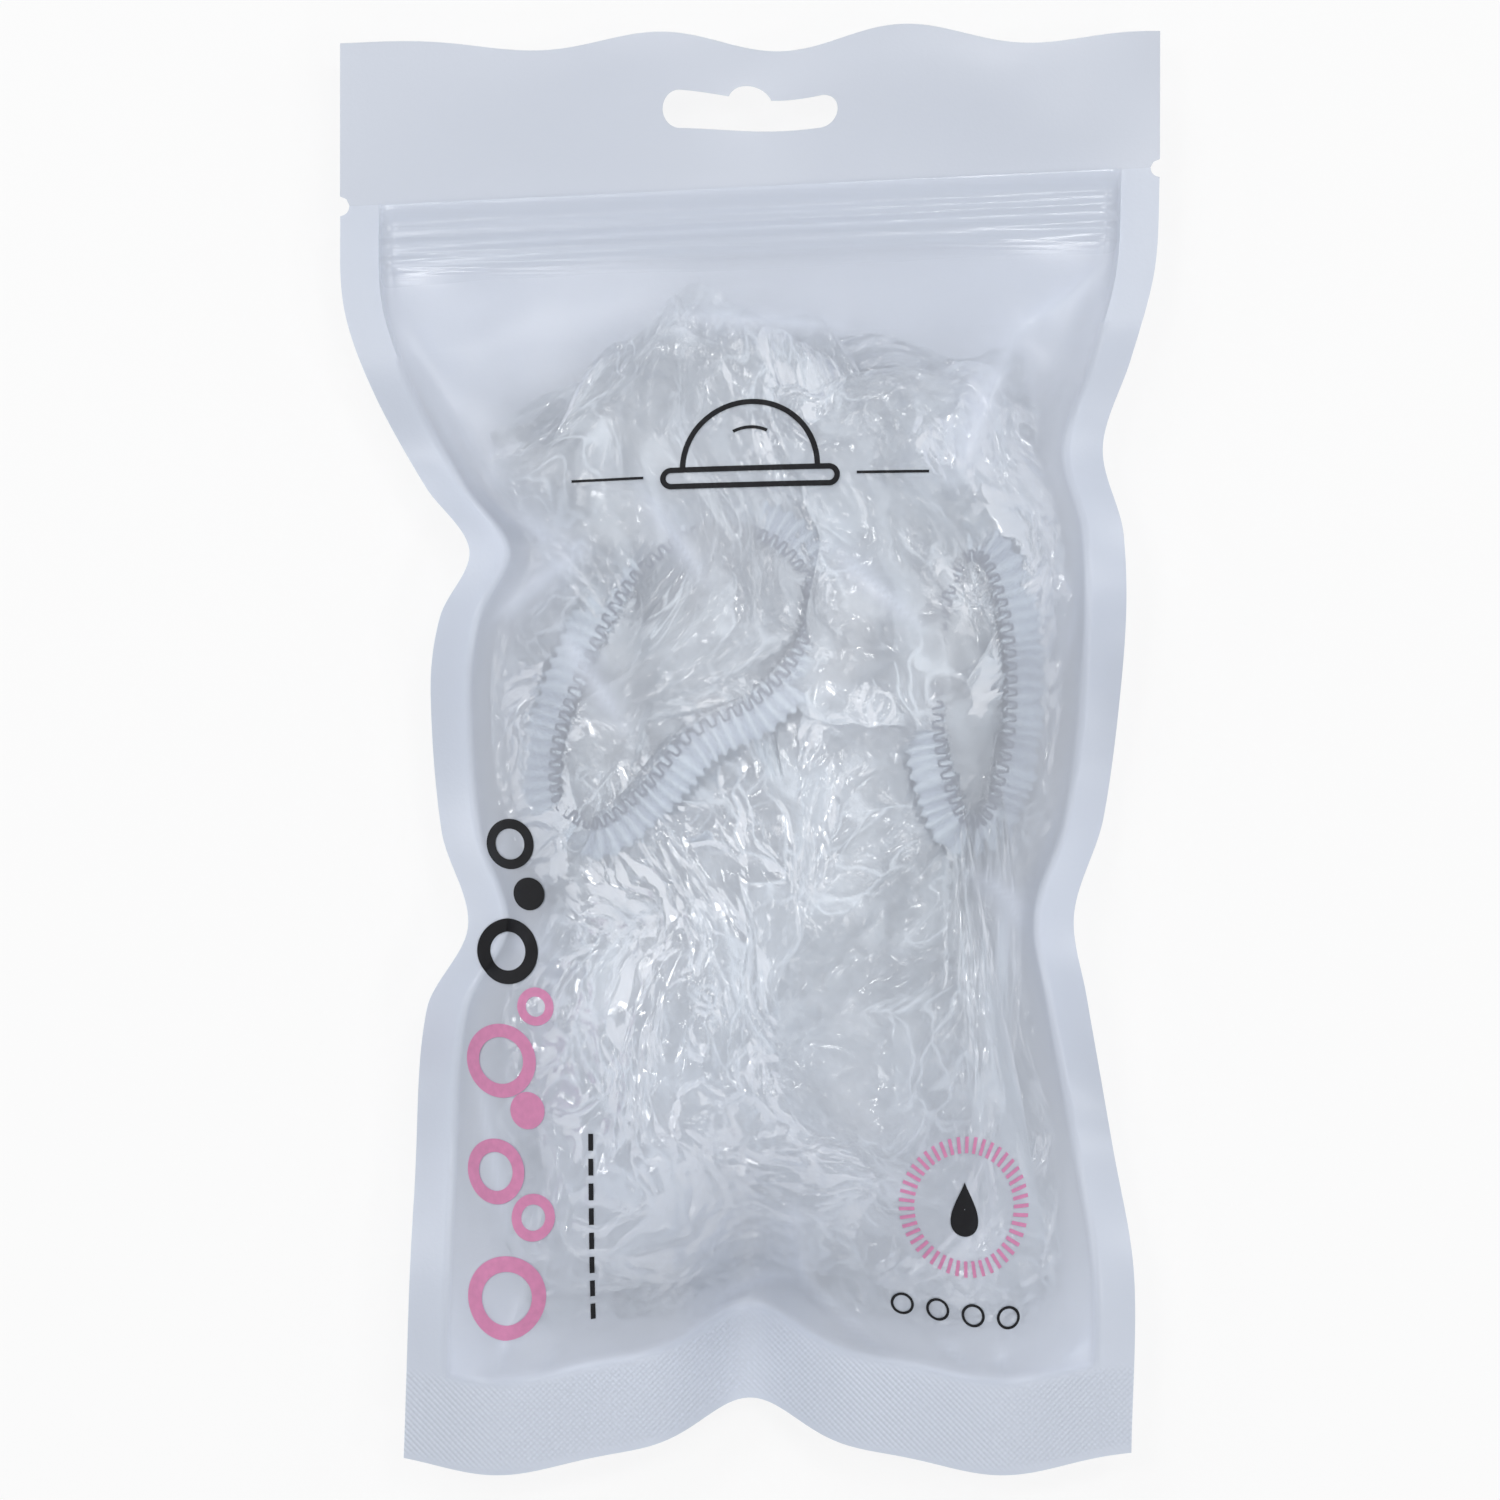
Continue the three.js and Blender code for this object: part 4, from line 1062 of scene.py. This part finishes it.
class Cap:
    """A packed cap: its crown takes a stretch of the bag, and its hem's loop lies on the side that shows."""

    def __init__(self, bag, sizes, row):
        self.number, self.front, sideways, upwards, film_sideways, film_upwards, self.shows = row
        self.bag = bag
        self.seed = 100 * self.number
        self.wide = 1000 * sizes.hem_width
        self.thick = 1000 * sizes.hem_thickness
        self.middle, self.half = self.stretch(sideways, upwards)
        self.film_middle, self.film_half = self.stretch(film_sideways, film_upwards)
        angle = np.linspace(0, 2 * math.pi, 10, endpoint=False)
        cos, sin = np.cos(angle), np.sin(angle)
        if self.number == 1:
            self.loop = 1000 * sizes.hem_loop * np.array(BENT_LOOP)
        elif self.number == 2:
            self.loop = np.stack([NARROW_LOOP[0] * cos, NARROW_LOOP_UP + NARROW_LOOP[1] * sin], -1)
        else:
            self.loop = np.stack([BACK_LOOP[0] * cos, BACK_LOOP[1] * sin], -1)

    def stretch(self, sideways, upwards):
        """Middle and half size of a stretch of the bag: sideways as shares of the width between the side
        seals and upwards in millimetres."""
        low, high = self.bag.foot + CAPS_ABOVE_SEAL, self.bag.fold - CAPS_BELOW_FOLD
        upwards = [low + (high - low) * part for part in upwards]
        middle = (sum(sideways) / 2, sum(upwards) / 2)
        return middle, ((sideways[1] - sideways[0]) / 2, (upwards[1] - upwards[0]) / 2)

    def levels(self, s, x):
        """The lowest and highest level of the crown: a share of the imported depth, less the hem's room."""
        floor = self.bag.back_z(s, x)
        depth = self.bag.front_z(s, x) - floor
        room = self.thick + HEM_REST + (FRONT_ROOM if self.front else BACK_ROOM)
        room = np.minimum(room, depth / 4)
        split = floor + BACK_DEPTH * depth
        if self.front:
            return split + CAP_CLEARANCE, floor + depth - room
        return floor + room, split - CAP_CLEARANCE

    @staticmethod
    def swell(part):
        """sqrt(1 - part^2.4): 1 in the crown's middle and 0 at its edge."""
        return np.sqrt(np.maximum(0, 1 - np.minimum(part, 1) ** CROWN_POWER))

    def showing_side(self, x, y):
        """Level of the crown's side that carries the hem."""
        s = self.bag.height_up(x, y)
        sideways = np.abs((self.bag.across(s, x) - self.middle[0]) / self.half[0])
        upwards = np.abs((s - self.middle[1]) / self.half[1])
        part = (sideways**CROWN_POWER + upwards**CROWN_POWER) ** (1 / CROWN_POWER)
        low, high = self.levels(s, x)
        middle = (low + high) / 2
        return middle + ((high if self.front else low) - middle) * self.swell(part)

    def hem_places(self, count):
        """Places along the hem's loop, as a function of the distance inwards from the band's middle and the
        distance out from the crown: the band rests on the crown and tilts with it."""
        s0 = np.float64(self.middle[1])
        x0 = self.bag.at_share(s0, self.middle[0])
        centre = np.array([x0, self.bag.y(s0, x0)])
        at, tangent, around = closed_curve(self.loop + centre, count)
        inward = np.stack([-tangent[:, 1], tangent[:, 0]], -1)
        away = 1 if self.front else -1
        half = self.wide / 2

        def beside(offset):
            x, y = (at + inward * offset).T
            return away * self.showing_side(x, y)

        tilt = (beside(half) - beside(-half)) / self.wide
        offsets = np.linspace(-half, half + 2, 7)
        touching = [beside(offset) - tilt * np.clip(offset, -half, half) for offset in offsets]
        rest = np.max(touching, axis=0) + HEM_REST

        def place(inwards, outwards):
            inwards, outwards = np.broadcast_arrays(inwards, outwards)
            slant = tilt[:, None] * np.clip(inwards, -half, half)
            return np.stack([
                at[:, None, 0] + inward[:, None, 0] * inwards,
                at[:, None, 1] + inward[:, None, 1] * inwards,
                away * (rest[:, None] + slant + outwards),
            ], -1)

        return place, around

    def film(self, sizes):
        """The cap's round film, crumpled into the crown's space. Places (a, b) on the flat disc are folded
        into the crown, moved by their creases, laid between its lowest and highest level and gathered to the
        hem near the rim. Where the hem shows, the film stays under it. Gives the points, the faces, the UV
        map and the marks."""
        bag = self.bag
        radius, crumple = 500 * sizes.flat_diameter, 1000 * sizes.crumple
        count = 310
        p, q = np.meshgrid(np.linspace(-1, 1, count), np.linspace(-1, 1, count))
        a = p * np.sqrt(1 - q * q / 2) * radius
        b = q * np.sqrt(1 - p * p / 2) * radius
        drift_a = a + 14 * soft_noise(a, b, 34, self.seed + 5)
        drift_b = 0.5 * b + 14 * soft_noise(a, b, 34, self.seed + 6)
        raised, sideways, upwards = (crumple * self.creased(drift_a, drift_b, turn) for turn in range(3))
        x, s, layer = self.folded(a, b, radius)
        x = x + 0.7 * sideways
        s = s + 0.7 * upwards
        floor, roof = bag.back_z(s, x) + 0.6, bag.front_z(s, x) - 0.8
        split = floor + BACK_DEPTH * (roof - floor)
        low, high = (split, roof) if self.front else (floor, split)
        high = self.under_hem(x, bag.y(s, x), high)
        away = 1 if self.front else -1
        depth = np.maximum(high - low, 0.5) / 2
        rough = np.minimum(1, depth / (1.6 * crumple))
        spare = np.maximum(depth - 1.1 * crumple * rough, 0.2)
        z = (low + high) / 2 + away * np.clip(layer, -1, 1) * spare + rough * raised
        points = np.stack([x, bag.y(s, x), np.clip(z, floor, np.maximum(high, low))], -1)
        points = self.gathered(points, a, b, radius)
        self.keep_inside(points)
        # The mark crease, along the facets' edges, carries painted glints in the cap film's finish
        large = facet_edges(drift_a, drift_b, 11, self.seed + 41, 0.9)
        small = facet_edges(drift_a, drift_b, 5.4, self.seed + 42, 0.7)
        marks = {"crease": np.maximum(large, 0.8 * small)}
        uv = np.stack([p, q], -1).reshape(-1, 2) / 2 + 0.5
        return points.reshape(-1, 3), grid_faces(count, count), uv, marks

    def creased(self, a, b, turn):
        """Facets of falling size, added up. Each turn has its own."""
        total = 0
        for k, (cell, part) in enumerate(FACETS):
            facets = facet_noise(a + 31 * turn, b - 17 * turn, cell, self.seed + 10 * turn + k)
            total = total + part * facets
        return total

    def folded(self, a, b, radius):
        """Places of the flat disc, folded to and fro across and up the crown as rounded triangle waves, and
        heaped up under the zip. Gives x, s and the layer, which climbs with the folds from -1 to 1, through
        the crown's depth."""
        bag = self.bag
        level = np.float64(self.film_middle[1])
        ends = (self.film_middle[0] - self.film_half[0], self.film_middle[0] + self.film_half[0])
        first, last = (bag.at_share(level, end) for end in ends)
        reach = ((last - first) / 2, self.film_half[1])

        def to_and_fro(flat, over, turn):
            bent = flat + 16 * soft_noise(a, b, 55, self.seed + turn)
            t = 0.92 * bent / over + 0.1 * turn
            wave = (2 / math.pi) * np.arcsin(0.985 * np.sin(math.pi / 2 * t))
            climb = t / 2 - 0.8 * np.sin(math.pi * t) / (2 * math.pi)
            climb = climb / (0.4 * radius / over)
            return wave * (1 + 0.06 * soft_noise(a, b, 40, self.seed + 2 + turn)), climb

        u, climb_u = to_and_fro(a, reach[0], 1)
        v, climb_v = to_and_fro(b, reach[1], 2)
        side_x = u * np.sqrt(1 - 0.2 * v * v)
        side_y = v * np.sqrt(1 - 0.2 * u * u)
        s = self.film_middle[1] + self.film_half[1] * side_y
        x = bag.at_share(s, np.clip(self.film_middle[0] + self.film_half[0] * side_x, -0.97, 0.97))
        heap = 9 * bell(x + 6, 20) + 3 * bell(x - 46, 12) - 9 * bell(x + 46, 16)
        heap = heap + 4 * soft_noise(x, a, 13, self.seed + 9)
        s = np.clip(s + heap * smoothstep(bag.fold - 50, bag.fold, s), bag.foot + 3, bag.fold + 11)
        return x, s, climb_u + 0.5 * climb_v + 0.25 * soft_noise(a, b, 30, self.seed + 8)

    def gathered(self, points, a, b, radius):
        """Draws the film near the disc's rim in to the hem's loop, turn for turn, in 96 pleats."""
        place, _ = self.hem_places(LOOP_STEPS)
        rim = place(np.full((LOOP_STEPS, 1), self.wide / 2 + 0.8), self.thick / 2)[:, 0]
        r = np.hypot(a, b) / radius
        around = np.arctan2(b, a)
        turn = (around / (2 * math.pi)) % 1 * LOOP_STEPS
        before = np.floor(turn).astype(int) % LOOP_STEPS
        onwards = (turn - np.floor(turn))[..., None]
        rim = rim[before] * (1 - onwards) + rim[(before + 1) % LOOP_STEPS] * onwards
        gather = smoothstep(0.84, 0.99, r)[..., None]
        points = points * (1 - gather) + rim * gather
        pleat = np.sin(around * 96 + 3 * soft_noise(a, b, 30, self.seed + 7))
        points[..., 2] += 1.2 * pleat * smoothstep(0.8, 0.97, r)
        return points

    def keep_inside(self, points):
        """Holds the film between the pouch's films and off its side seals."""
        bag = self.bag
        x, y, z = points[..., 0], points[..., 1], points[..., 2]
        s = bag.height_up(x, y)
        x[:] = np.clip(x, bag.left(s) + bag.seal + 0.5, bag.right(s) - bag.seal - 0.5)
        z[:] = np.clip(z, bag.back_skin(s, x) + 0.3, bag.front_skin(s, x) - 0.35)

    def under_hem(self, x, y, high):
        """Lowers the film's highest level to the hem's underside near the stretches of its loop that
        show."""
        place, _ = self.hem_places(LOOP_STEPS)
        under = place(np.zeros((LOOP_STEPS, 1)), -0.3)[:, 0]
        lowest = high.copy()
        for first, last in self.shows:
            stretch = np.arange(int(first * LOOP_STEPS), int(last * LOOP_STEPS), 4) % LOOP_STEPS
            for near_x, near_y, level in under[stretch]:
                near = (x - near_x) ** 2 + (y - near_y) ** 2 < (self.wide / 2 + 0.3) ** 2
                lowest[near] = np.minimum(lowest[near], level)
        return lowest


def section(sides):
    """Cosines and sines at even steps round a section."""
    angle = np.linspace(0, 2 * math.pi, sides, endpoint=False)[None, :]
    return np.cos(angle), np.sin(angle)


def squared(wave, power):
    """A wave raised to a power with its sign kept, which squares up a round section."""
    return np.sign(wave) * np.abs(wave) ** power


def hem_faces(cap, steps, sides):
    """Faces of a section carried round a hem's loop, turned outwards on either side of the pouch."""
    faces = grid_faces(steps, sides, ring=True, loop=True)
    return faces[:, ::-1] if cap.front else faces


class POUCH_OT_caps(bpy.types.Operator):
    """The four caps: crumpled film, gathered casing, elastic and overlock stitches"""

    bl_idname = "pouch.caps"
    bl_label = "Shower caps"

    def execute(self, context):
        sizes, cap_sizes, finishes, _ = settings(context)
        bag = Bag(sizes)
        clear = clear_film_finish("clear_cap_film", finishes.cap, finishes.cap_haze)
        casing = hem_finish("gathered_casing", finishes.hem)
        rubber = woven_finish("flat_elastic", finishes.elastic, 1200, 0.6)
        yarn = woven_finish("overlock_thread", finishes.thread, 2500, 0.7)
        for row in CAPS:
            cap = Cap(bag, cap_sizes, row)
            name = f"cap_{cap.number}"
            points, faces, uv, marks = cap.film(cap_sizes)
            film = new_piece(f"{name}_film", points, faces, clear, uv, marks, crease=22)
            hem = self.casing(cap, cap_sizes, name, casing)
            band = self.elastic(cap, name, rubber)
            stitches = self.stitches(cap, cap_sizes, name, yarn)
            for piece, node, slot in (
                (film, "crown", "cap_film"), (hem, "hem_casing", "hem_film"),
                (band, "elastic", "elastic"), (stitches, "stitching", "thread"),
            ):
                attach(piece, "pouch")
                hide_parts(f"{name}_{node}")
        return {"FINISHED"}

    @staticmethod
    def casing(cap, sizes, name, finish):
        """A flat oval section carried round the hem's loop, its size rippling along it as the gathers."""
        pitch, depth = 1000 * sizes.gather_pitch, 1000 * sizes.gather_depth
        sides = 22
        _, around = cap.hem_places(16)
        steps = int(around / pitch) * 9
        place, around = cap.hem_places(steps)
        along = np.linspace(0, around, steps, endpoint=False)[:, None]
        cos, sin = section(sides)
        lag = 1.4 * soft_noise(along, 3 * cos, 5, 400 + cap.number)
        ripple = depth * (np.sin(2 * math.pi * along / pitch + 2 * lag) + 0.7 * lag)
        inwards = squared(cos, 0.7) * (cap.wide / 2 + 0.9 * ripple)
        outwards = cap.thick / 2 + squared(sin, 0.8) * (cap.thick / 2 + 0.7 * ripple)
        points = place(inwards, outwards).reshape(-1, 3)
        # The mark gather carries painted shade: the casing is coloured darker in the valleys between its
        # gathers
        marks = {"gather": np.clip(0.5 + 0.5 * ripple / depth, 0, 1)}
        return new_piece(f"{name}_hem", points, hem_faces(cap, steps, sides), finish, None, marks)

    @staticmethod
    def elastic(cap, name, finish):
        """A flat band with rounded edges, carried round inside the casing."""
        steps, sides = 300, 16
        half_wide, half_thick = cap.wide / 2 - 0.8, 0.4
        place, _ = cap.hem_places(steps)
        cos, sin = section(sides)
        inwards = squared(cos, 0.35) * half_wide
        outwards = cap.thick / 2 + squared(sin, 0.5) * half_thick
        points = place(inwards, outwards).reshape(-1, 3)
        return new_piece(f"{name}_elastic_band", points, hem_faces(cap, steps, sides), finish)

    @staticmethod
    def stitches(cap, sizes, name, finish):
        """One thread that runs along the casing's inner edge and crosses it at each stitch: a square wave
        with rounded corners, carried round the loop."""
        fine = 16
        _, around = cap.hem_places(fine)
        steps = fine * int(around / (1000 * sizes.stitch_pitch))
        place, _ = cap.hem_places(steps)
        swing = np.clip(3.2 * np.sin(2 * math.pi * np.arange(steps) / fine), -1, 1)[:, None]
        path = place(cap.wide / 2 - 0.9 + 0.9 * swing, cap.thick + 0.2 - 0.4 * swing)[:, 0]
        points, faces = tube(path, 500 * sizes.thread, 5)
        return new_piece(f"{name}_overlock", points, faces, finish)


# Print


def print_patch(bag, x, s):
    """A grid of print in millimetres across and up the bag, laid a little above the front film."""
    points = bag.front_place(s, x)
    points[..., 2] += PRINT_LIFT
    return points.reshape(-1, 3), grid_faces(*x.shape)


def print_ring(middle_x, middle_s, outer, line, start=0.0, turn=2 * math.pi):
    """A ring, disc or arc as radius by angle."""
    r = np.linspace(max(outer - line, 0.01), outer, 5)[:, None]
    angle = np.linspace(start, start + turn, 73)[None, :]
    return middle_x + r * np.cos(angle), middle_s + r * np.sin(angle)


def print_bar(x0, s0, x1, s1, line):
    """A bar of constant width between two places."""
    along = np.array([x1 - x0, s1 - s0], float)
    side = np.array([-along[1], along[0]]) / np.hypot(*along) * line / 2
    t = np.linspace(0, 1, max(3, int(np.hypot(*along) / 0.8)))[None, :]
    k = np.linspace(-1, 1, 3)[:, None]
    return x0 + along[0] * t + side[0] * k, s0 + along[1] * t + side[1] * k


def cap_sign(x, s):
    """A dome with a gleam in it over a band with round ends, between two rules. The place is the band's
    middle."""
    half = 14
    patches = [print_ring(x, s + 1.7, 12.5, 1.0, 0.0, math.pi)]
    patches.append(print_ring(x, s + 2.3, 7, 0.6, 0.35 * math.pi, 0.3 * math.pi))
    patches += [print_bar(x - half, s + up, x + half, s + up, 1.0) for up in (1.5, -1.5)]
    for side in (1, -1):
        patches.append(print_ring(x + side * half, s, 2.0, 1.0, -math.pi / 2, side * math.pi))
        patches.append(print_bar(x + side * 19, s + 0.3, x + side * 32, s + 0.3, 0.5))
    return patches


def ring_row(x, s):
    """Four small rings in a row, from the first one's middle."""
    return [print_ring(x + 6.4 * k, s, 2.1, 0.5) for k in range(4)]


def dashed_rule(x, s):
    """Eight dashes up the bag, from the first one's foot."""
    return [print_bar(x, s + 4.4 * k, x, s + 3 + 4.4 * k, 0.9) for k in range(8)]


def tick_ring(x, s):
    """Short bars that point away from a place, all round it."""
    patches = []
    for angle in np.arange(45) * 2 * math.pi / 45:
        cos, sin = math.cos(angle), math.sin(angle)
        patches.append(print_bar(x + 9.1 * cos, s + 9.1 * sin, x + 11.9 * cos, s + 11.9 * sin, 0.62))
    return patches


def drop(x, s):
    """A drop: sin(t) * sin(t / 2)^1.5 across and cos(t) up, filled from its middle out."""
    t = np.linspace(0, 2 * math.pi, 73)[None, :]
    r = np.linspace(0.02, 1, 6)[:, None]
    return x + 3.6 * r * np.sin(t) * np.sin(t / 2) ** 1.5, s - 0.3 + 4.6 * r * np.cos(t)


class POUCH_OT_print(bpy.types.Operator):
    """The printed marks: a cap sign, bubbles, a ring of ticks with a drop, a dashed rule and four rings"""

    bl_idname = "pouch.print"
    bl_label = "Print"

    def execute(self, context):
        sizes, _, finishes, _ = settings(context)
        bag = Bag(sizes)
        dark = [print_ring(*bubble) for bubble in BUBBLES if bubble[1] > BUBBLES_CHANGE]
        pink = [print_ring(*bubble) for bubble in BUBBLES if bubble[1] <= BUBBLES_CHANGE]
        pink += tick_ring(*TICK_RING)
        dark += cap_sign(*CAP_SIGN)
        dark += ring_row(*RING_ROW)
        dark += dashed_rule(*DASHED_RULE)
        dark.append(drop(*TICK_RING))
        inks = (("print_dark", dark, finishes.dark_ink), ("print_pink", pink, finishes.pink_ink))
        for name, patches, tint in inks:
            points, faces, first = [], [], 0
            for x, s in patches:
                x, s = np.broadcast_arrays(x, s)
                made, cells = print_patch(bag, x, s)
                points.append(made)
                faces.append(cells + first)
                first += len(made)
            piece = new_piece(name, np.vstack(points), np.vstack(faces), ink_finish(name + "_ink", tint))
            self.face_up(piece)
            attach(piece, "pouch")
        return {"FINISHED"}

    @staticmethod
    def face_up(piece):
        """Turns every face to the front of the pouch."""
        mesh = piece.data
        normals = np.empty(3 * len(mesh.polygons), np.float32)
        mesh.polygons.foreach_get("normal", normals)
        flipped = normals.reshape(-1, 3)[:, 2] < 0
        corners = np.empty(len(mesh.loops), np.int32)
        mesh.loops.foreach_get("vertex_index", corners)
        corners = corners.reshape(-1, 4)
        corners[flipped] = corners[flipped][:, ::-1]
        mesh.loops.foreach_set("vertex_index", corners.ravel())
        mesh.update(calc_edges=True)


# Stage


class POUCH_OT_stage(bpy.types.Operator):
    """The table, the lights and the camera that looks straight down"""

    bl_idname = "pouch.stage"
    bl_label = "Stage"

    def execute(self, context):
        sizes, _, finishes, stage = settings(context)
        scene = context.scene
        corners = FLOOR_REACH * np.array([(-1, -1, 0), (1, -1, 0), (1, 1, 0), (-1, 1, 0)], float)
        corners[:, 2] = -FLOOR_DROP
        floor = new_piece("floor", corners, [[0, 1, 2, 3]], floor_finish("pale_table", finishes.floor))
        self.even_light(scene, stage.soft_light)
        for name, place, wide, tall, part in LAMPS:
            data = bpy.data.lights.new(name, "AREA")
            data.shape = "RECTANGLE"
            data.size = wide
            data.size_y = tall
            data.energy = part * stage.lamp_power
            lamp = bpy.data.objects.new(name, data)
            scene.collection.objects.link(lamp)
            lamp.location = place
            lamp.rotation_mode = "QUATERNION"
            lamp.rotation_quaternion = (-Vector(place)).to_track_quat("-Z", "Y")
        data = bpy.data.cameras.new("camera")
        data.sensor_width = SENSOR
        data.lens = SENSOR * stage.camera_height / stage.view_width
        camera = bpy.data.objects.new("camera", data)
        scene.collection.objects.link(camera)
        camera.location = (0, stage.view_up, sizes.seal_level + stage.camera_height)
        scene.camera = camera
        scene.view_settings.view_transform = "Standard"
        scene.cycles.transparent_max_bounces = 64
        scene.cycles.max_bounces = 16
        scene.cycles.diffuse_bounces = 8
        scene.cycles.glossy_bounces = 8
        return {"FINISHED"}

    @staticmethod
    def even_light(scene, strength):
        """Light from all round, stronger from beyond the hang slot than from beyond the bottom seal, that
        shows white."""
        light = Finish("even_light", "worlds")
        _, up = light.split(light.node("ShaderNodeTexCoord", None, None, "Generated"))
        tint = (0.97, 0.985, 1.0, 1)
        power = strength + 0.5 * strength * up
        falling = light.node("ShaderNodeBackground", None, {"Color": tint, "Strength": power})
        white = light.node("ShaderNodeBackground", None, {"Color": (1, 1, 1, 1), "Strength": 1.0})
        scene.world = light.show(light.mix(light.seen(), falling, white), "ShaderNodeOutputWorld")


class POUCH_PT_panel(bpy.types.Panel):
    """The pouch's pieces and sizes"""

    bl_idname = "POUCH_PT_panel"
    bl_label = "Shower cap pouch"
    bl_space_type = "VIEW_3D"
    bl_region_type = "UI"
    bl_category = "Pouch"

    def draw(self, context):
        for operator in OPERATORS:
            self.layout.operator(operator.bl_idname)
        for group in settings(context):
            box = self.layout.box()
            for name in group.__annotations__:
                box.prop(group, name)


GROUPS = (PouchSizes, CapSizes, Finishes, StageSizes)
OPERATORS = (POUCH_OT_films, POUCH_OT_header, POUCH_OT_zip, POUCH_OT_caps, POUCH_OT_print, POUCH_OT_stage)


def register():
    for made in (*GROUPS, *OPERATORS, POUCH_PT_panel):
        bpy.utils.register_class(made)
    bpy.types.Scene.pouch_sizes = bpy.props.PointerProperty(type=PouchSizes)
    bpy.types.Scene.cap_sizes = bpy.props.PointerProperty(type=CapSizes)
    bpy.types.Scene.pouch_finishes = bpy.props.PointerProperty(type=Finishes)
    bpy.types.Scene.stage_sizes = bpy.props.PointerProperty(type=StageSizes)


def unregister():
    del bpy.types.Scene.stage_sizes
    del bpy.types.Scene.pouch_finishes
    del bpy.types.Scene.cap_sizes
    del bpy.types.Scene.pouch_sizes
    for made in reversed((*GROUPS, *OPERATORS, POUCH_PT_panel)):
        bpy.utils.unregister_class(made)


def main():
    register()
    bpy.ops.pouch.films()
    bpy.ops.pouch.header()
    bpy.ops.pouch.zip()
    bpy.ops.pouch.caps()
    bpy.ops.pouch.print()
    bpy.ops.pouch.stage()


if __name__ == "__main__":
    main()
